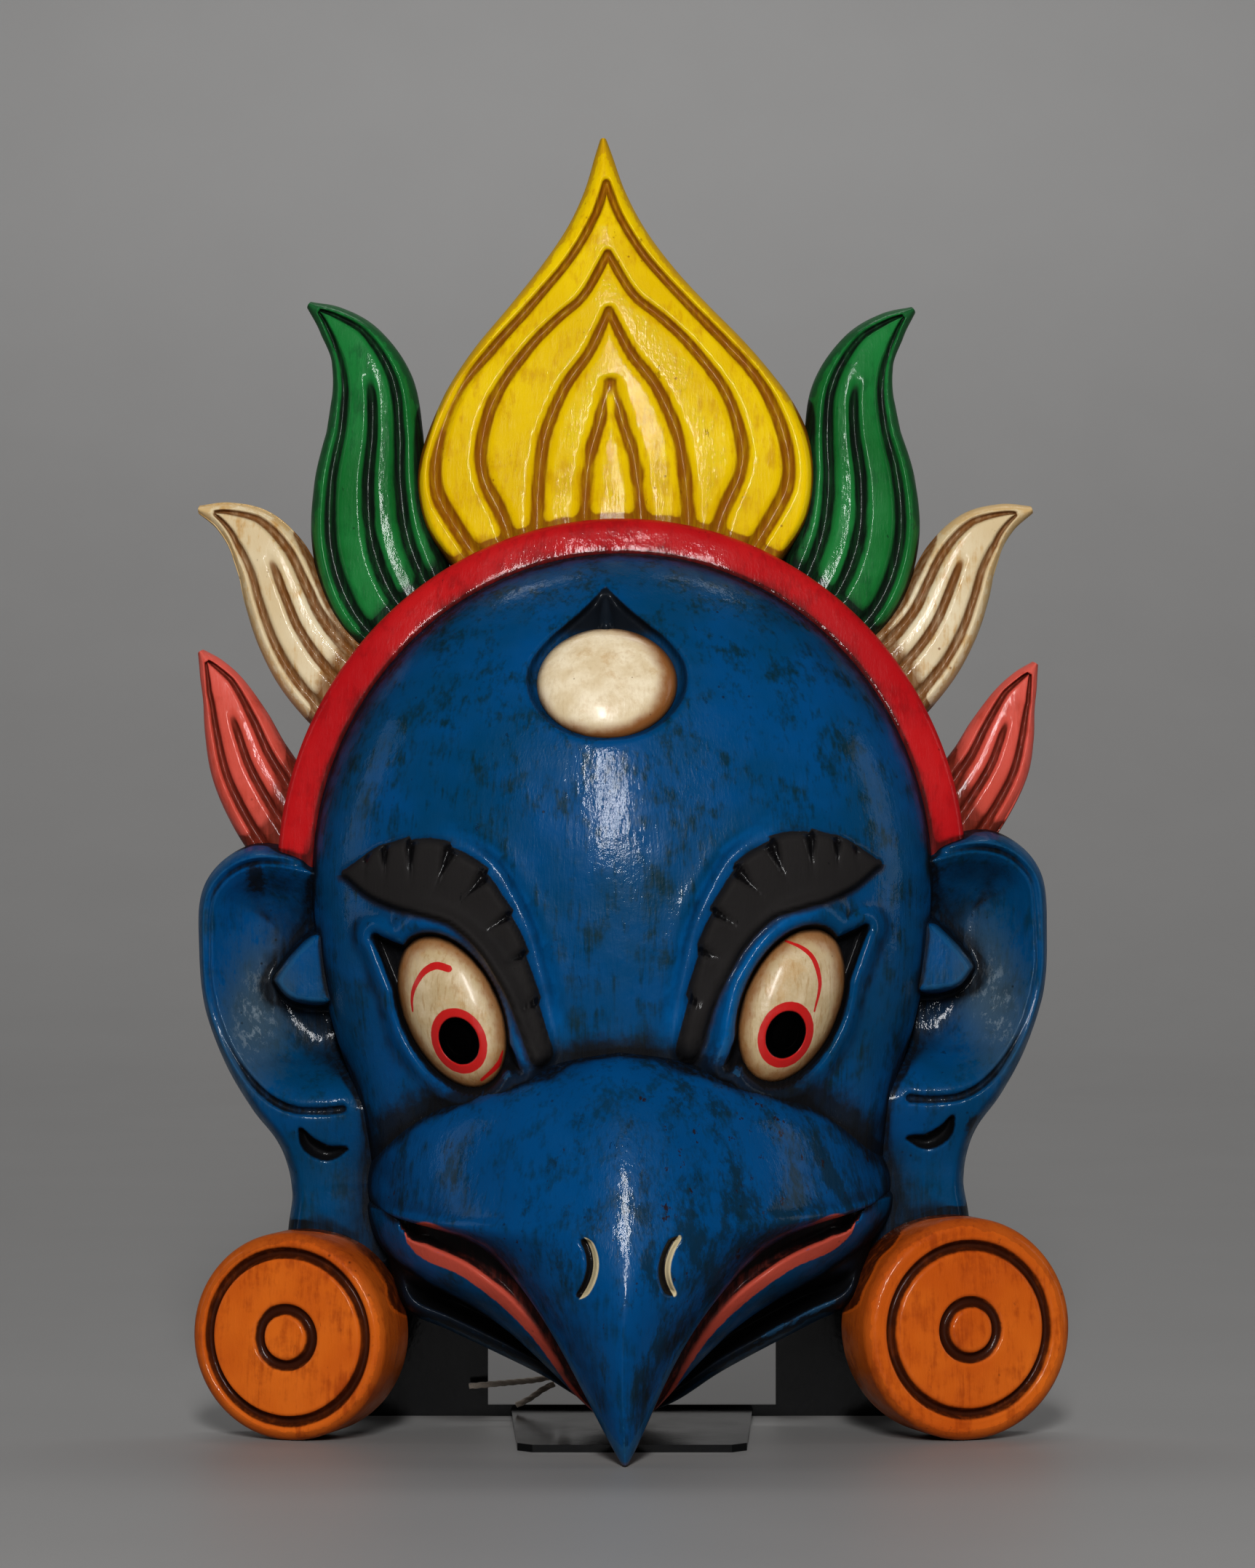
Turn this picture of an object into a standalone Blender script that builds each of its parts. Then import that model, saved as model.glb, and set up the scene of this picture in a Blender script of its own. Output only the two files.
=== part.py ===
"""A carved and painted wooden mask of a bird-faced deity, leaning on a bent sheet-steel stand.

The mask is drawn in its own plane first: x to the right, z up and d forward from its flat back, in
millimetres. to_world turns that into metres, with the block's small sideways lean and its tilt back
against the stand. Features of the right half are drawn once and mirrored.
"""

import math

import bmesh
import bpy
import numpy as np

MM = 0.001

# The block as a whole
SIDE_LEAN = math.radians(1.1)  # the carving leans to its right, the viewer's left
LEAN_PIVOT_Z = 7.0
TILT_BACK = math.radians(5.0)  # the mask leans back on the stand
FACE_SHIFT = -2.1  # the face's own middle line, beside the block's
CREST_UNEVEN = 1.7  # how much higher the left petals stand than the middle of the pair
CAD_VOXEL = 0.95
MASK_FACES = 8000

# The head
HEAD_WIDTH = 126.0
DRAWN_WIDTH = 126.0  # the head's width in the drawing that every outline below belongs to
HEAD_TOP = 178.0
HEAD_CENTRE_Z = 112.0
CHIN_Z = 3.5
HEAD_RIM_D = 20.0
HEAD_RISE = 36.0
HOLLOW_WALL = 12.0
HOLLOW_DEPTH = 38.0

# The red band
BAND_WIDTH = 8.8
BAND_PROUD = 7.0  # how far it stands out past the head's outline
BAND_FRONT_D = 25.0
BAND_BACK_D = 1.5
BAND_ENDS_Z = 114.0

# The ears and the discs that hang from them
EAR_FRONT_D = 27.5
EAR_FALL = 6.0  # how much lower its outer rim and its lobe lie than its top beside the head
EAR_ROUNDING = 3.0
EAR_BOWL_DEPTH = 12.0
EAR_BACK_D = 2.0
DISC_RADIUS = {-1: 20.6, 1: 22.0}
DISC_THICK = 17.0
DISC_EDGE = 3.0  # the rounding of its rim
DISC_TURN = math.radians(18.0)  # each disc faces a little outward
DISC_X = {-1: -66.0, 1: 65.0}
DISC_MIDDLE_D = 24.0
DISC_BOSS_RING = 6.2
DISC_RING = 16.6
DISC_GROOVE = 1.9

# The beak, as rows from the crease at its root to its tip: height, half width, ridge, edge
BEAK_ROWS = (
    (78.2, 1.0, 54.0, 52.0),
    (77.0, 11.0, 57.5, 51.0),
    (75.0, 18.0, 60.5, 49.0),
    (72.0, 26.5, 63.0, 46.0),
    (68.0, 38.0, 65.5, 39.0),
    (62.0, 47.5, 68.0, 29.0),
    (54.5, 52.2, 70.5, 21.0),
    (48.0, 53.4, 72.3, 19.0),
    (45.8, 49.0, 72.9, 33.0),
    (44.6, 41.5, 73.2, 43.0),
    (43.0, 35.0, 73.6, 47.5),
    (40.5, 28.5, 74.2, 50.5),
    (36.5, 23.6, 75.0, 53.0),
    (31.5, 19.0, 75.8, 55.5),
    (25.5, 14.5, 76.4, 58.0),
    (19.5, 10.8, 76.6, 60.5),
    (12.8, 7.3, 76.2, 63.0),
    (7.5, 4.6, 75.2, 65.5),
    (3.0, 2.3, 73.8, 68.0),
    (0.4, 0.6, 72.4, 70.5),
)
BEAK_UNDER = 3.0  # how far its underside hollows back from its edges
BEAK_ROOT = 14.0  # how much further back it reaches inside the head
MUZZLE_BEND = ((0, -1.5), (21, -1.6), (35, -0.6), (45, 0.4), (60, -0.6), (78, -1.0))
NOSTRIL_X = 8.6
NOSTRIL_Z = 38.0
ROW_SOFTNESS = 0.45
# The lower jaw, as rows from its lower edge up: height, half width, front, edge
JAW_ROWS = (
    (3.2, 1.5, 47.0, 40.0),
    (8.0, 7.5, 49.5, 38.0),
    (12.5, 11.8, 50.5, 37.0),
    (18.0, 17.4, 51.5, 36.0),
    (23.8, 24.0, 52.5, 34.0),
    (29.0, 33.0, 53.5, 30.0),
    (33.0, 43.0, 54.2, 24.0),
    (36.0, 47.5, 54.8, 21.0),
    (40.0, 51.2, 55.6, 19.5),
    (45.0, 53.2, 56.5, 19.0),
    (50.0, 53.0, 57.0, 19.0),
)

# The eyes, brows and third eye
EYE_CENTRE = (33.6, 86.4)
EYE_LONG = 16.0
EYE_SHORT = 9.2
EYE_TILT = math.radians(24.0)
EYE_CORNERS = ((46.6, 101.6), (19.9, 74.4))
CORNER_TAPER = 7.0
IRIS_CENTRE = (32.1, 80.8)
PUPIL_LONG = 4.1
PUPIL_SHORT = 3.2
PUPIL_DEPTH = 4.0
SOCKET_DEPTH = 3.6
BALL_RISE = 6.4
LID_RISE = 2.6
LID_WIDTH = 2.0
BROW_RISE = 3.6
BROW_NOTCH = 0.9
THIRD_EYE = (-2.2, 150.6)
THIRD_EYE_LONG = 14.0
THIRD_EYE_HIGH = 11.2
TEARDROP = (
    (139.3, 0.0), (139.6, 4.0), (141.0, 8.4), (143.6, 12.2), (147.2, 15.0), (151.4, 16.0), (155.2, 15.2),
    (159.2, 12.3), (162.6, 8.4), (165.6, 4.9), (168.2, 2.3), (170.4, 0.3),
)
TEARDROP_DEPTH = 3.4

# The petals
GROOVE_WIDTH = 1.25
GROOVE_DEPTH = 1.7

# The stand: one sheet, its tongue cut from the upright and bent forward
SHEET = 1.5
UPRIGHT_WIDTH = 118.0
UPRIGHT_HIGH = 128.0
CUTOUT_WIDTH = 59.5
TONGUE_LONG = 61.0
TONGUE_BACK_WIDTH = 50.0
TONGUE_FRONT_WIDTH = 45.0
CORNER = 6.0
TONGUE_CORNER = 3.0
BEND_STRIP = 2.3

# The cotton string: its holes in the rim of the hollow, its knot and its two short ends
STRING = 1.3
GAP = 0.3
HOLE_Z = 96.0
HOLE_D = 8.0
HOLE_WIDTH = 3.2
HOLE_DEEP = 6.0
KNOT = (-14.0, 9.2)
KNOT_SIZE = 4.6


def smooth_keys(keys, values, at):
    """A smooth curve through (keys, values), read at the places in at."""
    keys = np.asarray(keys, float)
    values = np.asarray(values, float)
    slope = np.gradient(values, keys)
    at = np.clip(at, keys[0], keys[-1])
    i = np.clip(np.searchsorted(keys, at) - 1, 0, len(keys) - 2)
    span = keys[i + 1] - keys[i]
    u = (at - keys[i]) / span
    low = (1 + 2 * u) * (1 - u) ** 2 * values[i] + u * (1 - u) ** 2 * span * slope[i]
    high = u * u * (3 - 2 * u) * values[i + 1] + u * u * (u - 1) * span * slope[i + 1]
    return low + high


def spline(points, count, closed=False):
    """Points evenly spaced in parameter on a smooth curve through the given ones."""
    p = np.asarray(points, float)
    if closed:
        p = np.vstack([p[-2:], p, p[:3]])
        keys = np.arange(len(p)) - 2.0
        at = np.linspace(0, len(points), count, endpoint=False)
    else:
        keys = np.arange(len(p), dtype=float)
        at = np.linspace(0, len(p) - 1, count)
    return np.stack([smooth_keys(keys, p[:, k], at) for k in range(p.shape[1])], 1)


def near_line(x, z, line):
    """Each place's distance to a run of straight pieces, and how far along it that is, 0 to 1."""
    shape = np.shape(x)
    p = np.stack([np.ravel(x), np.ravel(z)], 1)
    best = np.full(len(p), 1e9)
    along = np.zeros(len(p))
    for i in range(len(line) - 1):
        a = line[i]
        ab = line[i + 1] - a
        t = np.clip((p - a) @ ab / max(ab @ ab, 1e-12), 0, 1)
        far = np.hypot(*(p - a - t[:, None] * ab).T)
        closer = far < best
        best[closer] = far[closer]
        along[closer] = (i + t[closer]) / (len(line) - 1)
    return best.reshape(shape), along.reshape(shape)


def ramp(value, low, high):
    """0 below low, 1 above high and smooth between them."""
    t = np.clip((value - low) / (high - low), 0, 1)
    return t * t * (3 - 2 * t)


def groove(far, width=GROOVE_WIDTH):
    """The section of a carved groove, 1 at its bottom and 0 past its width."""
    return (1 - np.clip(far / width, 0, 1) ** 2) ** 1.5


def to_world(x, z, d):
    """From the mask's own plane, in millimetres, to the world in metres."""
    x = x * HEAD_WIDTH / DRAWN_WIDTH
    wx = x * math.cos(SIDE_LEAN) - (z - LEAN_PIVOT_Z) * math.sin(SIDE_LEAN)
    wz = z * math.cos(SIDE_LEAN) + x * math.sin(SIDE_LEAN)
    back = -(UPRIGHT_HIGH - wz) * math.tan(TILT_BACK)
    wy = -(SHEET + GAP) + back - d
    return np.stack([wx, wy, wz], -1) * MM


def object_of(name, vertices, faces, collection):
    mesh = bpy.data.meshes.new(name)
    mesh.from_pydata([tuple(v) for v in vertices], [], faces)
    made = bmesh.new()
    made.from_mesh(mesh)
    bmesh.ops.remove_doubles(made, verts=made.verts, dist=1e-7)
    bmesh.ops.recalc_face_normals(made, faces=made.faces)
    made.to_mesh(mesh)
    made.free()
    made = bpy.data.objects.new(name, mesh)
    collection.objects.link(made)
    return made


def loft(name, rings, collection):
    """A closed form through rings of points (x, z, d), capped at both ends."""
    count, around = rings.shape[:2]
    flat = rings.reshape(-1, 3)
    points = list(to_world(flat[:, 0], flat[:, 1], flat[:, 2]))
    faces = [
        (i * around + j, i * around + (j + 1) % around,
         (i + 1) * around + (j + 1) % around, (i + 1) * around + j)
        for i in range(count - 1)
        for j in range(around)
    ]
    for end, ring in ((0, rings[0]), (count - 1, rings[-1])):
        middle = ring.mean(0)
        points.append(to_world(*middle))
        hub = len(points) - 1
        faces += [(end * around + j, end * around + (j + 1) % around, hub) for j in range(around)]
    return object_of(name, points, faces, collection)


# Leaves and petals: a middle line (x, z), half widths along it, and the relief across it


def leaf_rings(middle, widths, back, front, tip_front, dome, relief, along=60, across=25):
    """Rings across a leaf. relief(x, z, t, s) is what is carved away from its front."""
    t = np.linspace(0, 1, along) ** 0.9
    line = spline(middle, 400)
    keys = np.linspace(0, 1, len(widths))
    c = np.stack([np.interp(t, np.linspace(0, 1, 400), line[:, k]) for k in range(2)], 1)
    tangent = np.gradient(c, t, axis=0)
    tangent /= np.linalg.norm(tangent, axis=1)[:, None]
    normal = np.stack([tangent[:, 1], -tangent[:, 0]], 1)
    w = np.maximum(smooth_keys(keys, widths, t), 0.35)
    s = np.sin(np.linspace(-1, 1, across) * math.pi / 2)
    top = np.linspace(front, tip_front, along)
    grow = ramp(t, 0.0, 1.0)
    low = back + (tip_front - back) * 0.35 * grow
    x = c[:, :1] + normal[:, :1] * w[:, None] * s
    z = c[:, 1:] + normal[:, 1:] * w[:, None] * s
    edge = (1 - np.abs(s)) * w[:, None]
    bevel = np.minimum(2.6, w[:, None])
    rise = np.sqrt(1 - (1 - np.clip(edge / bevel, 0, 1)) ** 2)
    waist = low + (top - low) * 0.45
    swell = dome * (1 - s**2) * np.clip(w / 8, 0, 1)[:, None]
    over = waist[:, None] + (top - waist)[:, None] * rise + swell - relief(x, z, t[:, None], s)
    under = waist[:, None] - (waist - low)[:, None] * np.clip(edge / 1.5, 0, 1) ** 0.5
    fronts = np.stack([x, z, over], -1)
    backs = np.stack([x, z, under], -1)[:, ::-1][:, 1:-1]
    return np.concatenate([fronts, backs], 1)


YELLOW_LINE = ((0.6, 160), (0.5, 176), (0.2, 195), (-0.6, 213), (-0.9, 230), (-0.9, 248), (-1.0, 265.0))
YELLOW_WIDTHS = (
    (160, 22), (170, 30), (176, 34.2), (183.6, 39.2), (190.8, 41), (197.6, 40.8), (205, 38.4),
    (213, 34.1), (221.8, 27.6), (229.5, 20.7), (237.7, 13.8), (246.2, 7.9), (253.8, 4.2), (261.8, 1.6),
    (265, 0.5),
)
YELLOW_GROOVES = (
    ((0, 255), (2.5, 248), (7.5, 239.5), (15.2, 230.4), (23.6, 221.2), (30.8, 212.5), (35.3, 201.7),
     (36, 192), (31.8, 183.6), (24, 172)),
    ((0, 240), (5.0, 231.4), (10.5, 226.6), (16.4, 220.7), (23.4, 211), (26.5, 201.2),
     (26.2, 193.8), (22.2, 185), (18.5, 172)),
    ((0, 228), (4.1, 219.5), (8.7, 213.2), (12, 206.5), (14, 200), (15.3, 188), (15.5, 172)),
    ((0.4, 213), (2.4, 204.7), (4.4, 198), (5.6, 188), (6.4, 172)),
)


def yellow_relief(x, z, t, s):
    cut = np.zeros(np.broadcast(x, s).shape)
    for line in YELLOW_GROOVES:
        far, _ = near_line(np.abs(x + 0.5), z, spline(line, 40))
        cut = np.maximum(cut, groove(far) * GROOVE_DEPTH)
    return cut


def leaf_relief(outer, inner, mid, apex):
    """Two grooves that meet in a point near the leaf's tip, and a short one between them."""

    def relief(x, z, t, s):
        close = np.sqrt(np.clip((apex - t) / 0.16, 0, 1))
        width = 0.16 + 0.05 * ramp(t, 0.5, 0.9)
        cut = groove(np.abs(s - outer * close), width)
        cut = np.maximum(cut, groove(np.abs(s - inner * close), width)) * (t < apex)
        middle = groove(np.abs(s - mid), width * 0.9) * ramp(apex * 0.72 - t, 0, 0.12)
        return np.maximum(cut, middle) * GROOVE_DEPTH

    return relief


# Right-hand leaves: middle line (x, z), half widths, back, front and tip depth, grooves
LEAVES = {
    "green": (
        ((40, 163), (46, 171), (49.6, 181), (50.3, 192), (49.3, 203), (49.6, 212), (52.6, 220),
         (57.5, 225.6), (62.4, 229.3)),
        (11, 13, 13, 11.8, 10, 8.6, 6.2, 3.7, 0.8),
        1.0, 14.5, 10.0, 2.0, (0.66, -0.53, 0.02, 0.95), CREST_UNEVEN,
    ),
    "cream": (
        ((50, 145), (56, 151.5), (61.5, 157.5), (65.5, 163.5), (68.3, 170), (71, 176.5), (75, 182),
         (80.3, 185.6), (86, 187.4)),
        (10, 10.5, 10, 9.2, 8.6, 7.6, 6, 3.4, 0.8),
        0.6, 12.0, 8.0, 1.6, (0.62, -0.55, 0.0, 0.93), CREST_UNEVEN,
    ),
    "pink": (
        ((62, 112), (67, 120), (72, 127.5), (76, 134.5), (78.6, 141.5), (81, 148), (83.6, 153),
         (86, 156.8)),
        (8, 9, 9, 8.3, 7, 5, 3, 0.7), 0.4, 9.6, 7.0, 1.2, (0.6, -0.55, 0.0, 0.92), CREST_UNEVEN * 1.7,
    ),
}


def petals(collection, along=60, across=25):
    made = []
    keys = [k for k, _ in YELLOW_WIDTHS]
    z = spline(YELLOW_LINE, 60)[:, 1]
    widths = smooth_keys(keys, [w for _, w in YELLOW_WIDTHS], z)
    rings = leaf_rings(YELLOW_LINE, widths, 1.0, 19.0, 9.0, 2.5, yellow_relief, along * 2, across * 2)
    made.append(loft("petal_yellow", rings, collection))
    for side, word in ((-1, "left"), (1, "right")):
        for colour, (line, widths, back, front, tip, dome, lines, uneven) in LEAVES.items():
            rings = leaf_rings(line, widths, back, front, tip, dome, leaf_relief(*lines), along, across)
            rings[..., 0] *= side
            rings[..., 1] -= side * uneven * ramp(rings[..., 1], line[0][1], line[-1][1])
            made.append(loft(f"petal_{colour}_{word}", rings, collection))
    return made


def band(collection, along=70):
    """The red band: a ribbon with a rounded front, bent over the head in half an ellipse."""
    out_x = DRAWN_WIDTH / 2 + BAND_PROUD
    out_z = HEAD_TOP - HEAD_CENTRE_Z + BAND_PROUD
    low = math.asin((BAND_ENDS_Z - HEAD_CENTRE_Z) / out_z)
    turn = np.linspace(low, math.pi - low, along)
    section = []
    half = BAND_WIDTH / 2
    for u in np.linspace(-1, 1, 13):
        front = BAND_FRONT_D - 1.6 * abs(u) ** 3 - 1.4 * (u + 1) / 2
        section.append((u * half * (1 - 0.06 * abs(u) ** 6), front))
    section += [(half, BAND_BACK_D), (-half, BAND_BACK_D)]
    section = np.array(section)
    mid_x = out_x - half
    mid_z = out_z - half
    rings = np.zeros((along, len(section), 3))
    out = np.stack([np.cos(turn) / mid_x, np.sin(turn) / mid_z], 1)
    out /= np.linalg.norm(out, axis=1)[:, None]
    rings[..., 0] = (mid_x * np.cos(turn))[:, None] + out[:, :1] * section[:, 0]
    rings[..., 1] = HEAD_CENTRE_Z + (mid_z * np.sin(turn))[:, None] + out[:, 1:] * section[:, 0]
    rings[..., 2] = section[:, 1]
    return loft("band", rings, collection)


# The head: a dome over its outline, with the face carved into it

# The lower half of the head's outline, from its widest down to the chin, as shares of its half
# width and of the height from the chin to its middle
HEAD_LOWER = (
    (1.0, 1.0), (0.975, 0.84), (0.93, 0.72), (0.875, 0.62), (0.825, 0.5), (0.8, 0.38), (0.76, 0.27),
    (0.71, 0.205), (0.58, 0.168), (0.43, 0.125), (0.28, 0.08), (0.14, 0.03), (0, 0.0),
)


def head_outline():
    """The egg of the head seen from the front: half an ellipse above, and a pointed chin."""
    half = DRAWN_WIDTH / 2
    turn = np.linspace(math.pi / 2, 0, 60, endpoint=False)
    above = np.stack([half * np.cos(turn), (HEAD_TOP - HEAD_CENTRE_Z) * np.sin(turn)], 1)
    above[:, 1] += HEAD_CENTRE_Z
    below = spline(HEAD_LOWER, 90) * (half, HEAD_CENTRE_Z - CHIN_Z) + (0, CHIN_Z)
    right = np.vstack([above, below])
    return np.vstack([right, (right * (-1, 1))[::-1][1:-1]])


def disc_grid(outline, centre, count):
    """A square grid of (x, z, reach) laid over the outline, with reach 0 at centre and 1 at it."""
    u, v = np.meshgrid(np.linspace(-1, 1, count), np.linspace(-1, 1, count), indexing="ij")
    px = u * np.sqrt(1 - v * v / 2)
    pz = v * np.sqrt(1 - u * u / 2)
    reach = np.sin(np.clip(np.hypot(px, pz), 0, 1) * math.pi / 2)
    angle = np.arctan2(pz, px)
    around = np.arctan2(outline[:, 1] - centre[1], outline[:, 0] - centre[0])
    order = np.argsort(around)
    keys = np.concatenate([around[order] - 2 * math.pi, around[order], around[order] + 2 * math.pi])
    far = np.hypot(outline[:, 0] - centre[0], outline[:, 1] - centre[1])[order]
    radius = np.interp(angle, keys, np.tile(far, 3))
    return centre[0] + radius * reach * np.cos(angle), centre[1] + radius * reach * np.sin(angle), reach


def dome_object(name, x, z, front, back, collection):
    """A closed form from a square grid: a front skin and a back skin with a wall between them."""
    count = x.shape[0]
    skins = [to_world(x, z, front).reshape(-1, 3), to_world(x, z, back).reshape(-1, 3)]
    points = np.vstack(skins)
    size = count * count
    faces = []
    for i in range(count - 1):
        for j in range(count - 1):
            a = i * count + j
            quad = (a, a + 1, a + count + 1, a + count)
            faces.append(quad)
            faces.append(tuple(size + k for k in reversed(quad)))
    rim = [j for j in range(count)]
    rim += [i * count + count - 1 for i in range(1, count)]
    rim += [(count - 1) * count + j for j in range(count - 2, -1, -1)]
    rim += [i * count for i in range(count - 2, 0, -1)]
    for k, a in enumerate(rim):
        b = rim[(k + 1) % len(rim)]
        faces.append((b, a, size + a, size + b))
    return object_of(name, points, faces, collection)


def ellipse_reach(x, z, centre, long, short, tilt=0.0):
    """How far each place is from the centre of a tilted ellipse, as a share of its radius there."""
    a = (x - centre[0]) * math.sin(tilt) + (z - centre[1]) * math.cos(tilt)
    b = (x - centre[0]) * math.cos(tilt) - (z - centre[1]) * math.sin(tilt)
    return np.hypot(a / long, b / short)


BROW_LINE = (
    (53, 113.8), (47.5, 113.6), (42, 113.6), (36, 113.2), (29.6, 110.2), (25.2, 105.4), (22, 100.5),
    (19.6, 95), (17.2, 88.5), (14.3, 78.3),
)
BROW_HALF_WIDTHS = (0.8, 4.8, 7.0, 7.8, 7.0, 5.6, 4.7, 3.8, 3.0, 2.4)
BROW_LOCKS = 9


def brow_relief(x, z):
    """The brow's rise over the forehead, with the notches between its locks, and how far inside it is."""
    line = spline(BROW_LINE, 60)
    far, along = near_line(x, z, line)
    width = smooth_keys(np.linspace(0, 1, len(BROW_HALF_WIDTHS)), BROW_HALF_WIDTHS, along)
    inside = width - far
    rise = BROW_RISE * ramp(inside, -0.8, 2.6)
    phase = (along * BROW_LOCKS) % 1.0
    notch = np.clip(1 - np.abs(phase - 0.5) * 8, 0, 1) * ramp(inside, 0, 2.5) * ramp(along, 0.05, 0.15)
    return rise - BROW_NOTCH * notch, inside


def almond(x, z):
    """Distance outside the eye's opening, an almond round the ball with a corner at each end."""
    reach = ellipse_reach(x, z, EYE_CENTRE, EYE_LONG + 0.6, EYE_SHORT + 0.9, EYE_TILT)
    ball = (reach - 1) * (EYE_SHORT + 3)
    for corner in EYE_CORNERS:
        far, along = near_line(x, z, np.array([EYE_CENTRE, corner]))
        ball = np.minimum(ball, far - 0.5 - CORNER_TAPER * (1 - along))
    return ball


def eye_relief(x, z, ball=True):
    """The socket, the lids and, where ball is set, the eyeball with its drilled pupil."""
    out = almond(x, z)
    across = (x - EYE_CENTRE[0]) * math.cos(EYE_TILT) - (z - EYE_CENTRE[1]) * math.sin(EYE_TILT)
    upper = ramp(-across, -6.0, 4.0)
    lid = LID_RISE * (0.45 + 0.55 * upper) * np.exp(-(((out - LID_WIDTH) / (LID_WIDTH + upper)) ** 2))
    fade = ramp(out, 9.0, 4.0)
    hollow = -SOCKET_DEPTH * ramp(-out, -0.8, 1.4)
    relief = hollow + lid * fade * ramp(out, -0.8, 1.0)
    if ball:
        reach = ellipse_reach(x, z, EYE_CENTRE, EYE_LONG, EYE_SHORT, EYE_TILT)
        relief += BALL_RISE * np.sqrt(np.clip(1 - reach**2, 0, 1))
        pupil = ellipse_reach(x, z, IRIS_CENTRE, PUPIL_LONG, PUPIL_SHORT, EYE_TILT)
        relief -= PUPIL_DEPTH * ramp(1.2 - pupil, 0, 0.5)
    return relief


def teardrop(x, z):
    """Below 0 inside the third eye's recess, a round drop with a point at its top."""
    right = spline(TEARDROP, 60)[:, ::-1]
    outline = np.vstack([right, (right * (-1, 1))[::-1][1:]]) + (THIRD_EYE[0], 0)
    far, _ = near_line(x, z, outline)
    return -far * inside_of(x, z, outline)


def third_eye_relief(x, z, ball=True):
    drop = teardrop(x, z)
    recess = -TEARDROP_DEPTH * ramp(-drop, -0.8, 2.0)
    ridge = 1.8 * np.exp(-(((x - THIRD_EYE[0]) / 2.2) ** 2)) * ramp(z, 160.0, 163.0) * ramp(-drop, 0, 1)
    recess = recess + ridge
    if ball:
        reach = ellipse_reach(x, z, THIRD_EYE, THIRD_EYE_HIGH, THIRD_EYE_LONG)
        recess = recess + (TEARDROP_DEPTH + 1.6) * np.clip(1 - reach**2.4, 0, 1) ** 0.5
    return recess


def head_depth(reach):
    return HEAD_RIM_D + HEAD_RISE * np.sqrt(np.clip(1 - reach**2, 0, 1))


def head(collection, count=150):
    x, z, reach = disc_grid(head_outline(), (0, HEAD_CENTRE_Z), count)
    front = head_depth(reach)
    side = np.abs(x - FACE_SHIFT)
    brow, _ = brow_relief(side, z)
    front = front + brow + eye_relief(side, z) + third_eye_relief(x, z)
    return dome_object("head", x, z, front, np.zeros_like(front), collection)


def hollow(collection):
    """What is carved out of the back: a smaller dome behind the face."""
    outline = head_outline()
    centre = np.array((0, HEAD_CENTRE_Z - 14.0))
    away = outline - centre
    far = np.linalg.norm(away, axis=1)
    outline = centre + away * ((far - HOLLOW_WALL) / far)[:, None]
    x, z, reach = disc_grid(outline, centre, 20)
    deep = HOLLOW_DEPTH * np.sqrt(np.clip(1 - reach**2.6, 0, 1)) + 1.0
    return dome_object("hollow", x, z, deep, np.full_like(deep, -14.0), collection)


# The beak and the jaw


def muzzle_middle(z):
    """The middle line of the beak and jaw, which bends a little to one side on its way down."""
    return smooth_keys(*np.array(MUZZLE_BEND, float).T, z)


def soften(values, spread):
    """The run of values with its corners rounded and its ends kept."""
    half = max(int(spread * 3), 1)
    bell = np.exp(-0.5 * (np.arange(-half, half + 1) / spread) ** 2)
    before = 2 * values[0] - values[half:0:-1]
    after = 2 * values[-1] - values[-2 : -half - 2 : -1]
    return np.convolve(np.concatenate([before, values, after]), bell / bell.sum(), "valid")


def muzzle_rings(rows, back, power, shape, along, across):
    """Rings across the muzzle from rows of height, half width, ridge and edge depth."""
    rows = np.array(rows)
    t = np.arange(len(rows), dtype=float)
    at = np.linspace(0, len(rows) - 1, along)
    spread = ROW_SOFTNESS * along / len(rows)
    z, w, ridge, edge = (soften(np.interp(at, t, rows[:, k]), spread) for k in range(4))
    s = np.sin(np.linspace(-1, 1, across) * math.pi / 2)
    a = smooth_keys(t, power, at)[:, None]
    b = smooth_keys(t, shape, at)[:, None]
    front = edge[:, None] + (ridge - edge)[:, None] * (1 - np.abs(s) ** a) ** b
    inner = smooth_keys(t, back, at)[:, None]
    under = edge[:, None] + (inner - edge[:, None]) * (1 - s**2) ** 0.5
    x = w[:, None] * s + muzzle_middle(z)[:, None]
    zz = np.broadcast_to(z[:, None], x.shape)
    fronts = np.stack([x, zz, front], -1)
    backs = np.stack([x, zz, under], -1)[:, ::-1][:, 1:-1]
    return np.concatenate([fronts, backs], 1)


def nostrils(x, z, d):
    """Two upright crescents cut into the beak near its ridge."""
    side = np.abs(x - muzzle_middle(z))
    bow = NOSTRIL_X - 1.7 * (1 - ((z - NOSTRIL_Z) / 5.2) ** 2)
    cut = groove(np.abs(side - bow), 1.1) * ramp(5.2 - np.abs(z - NOSTRIL_Z), 0, 1.2)
    return 1.6 * cut * (d > 55)


def beak(collection, along=90, across=61):
    hook = np.array([ramp(44.0 - row[0], 0, 24.0) for row in BEAK_ROWS])
    power = 1.75 - 0.4 * hook
    shape = 0.62 + 0.14 * hook
    back = [row[3] - BEAK_UNDER - BEAK_ROOT * ramp(np.float64(row[0]), 22.0, 46.0) for row in BEAK_ROWS]
    rings = muzzle_rings(BEAK_ROWS, back, power, shape, along, across)
    rings[..., 2] -= nostrils(rings[..., 0], rings[..., 1], rings[..., 2])
    return loft("beak", rings, collection)


def jaw(collection, along=40, across=51):
    power = np.full(len(JAW_ROWS), 3.0)
    shape = np.full(len(JAW_ROWS), 0.56)
    back = np.full(len(JAW_ROWS), 12.0)
    return loft("jaw", muzzle_rings(JAW_ROWS, back, power, shape, along, across), collection)


# Ears and discs

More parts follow.
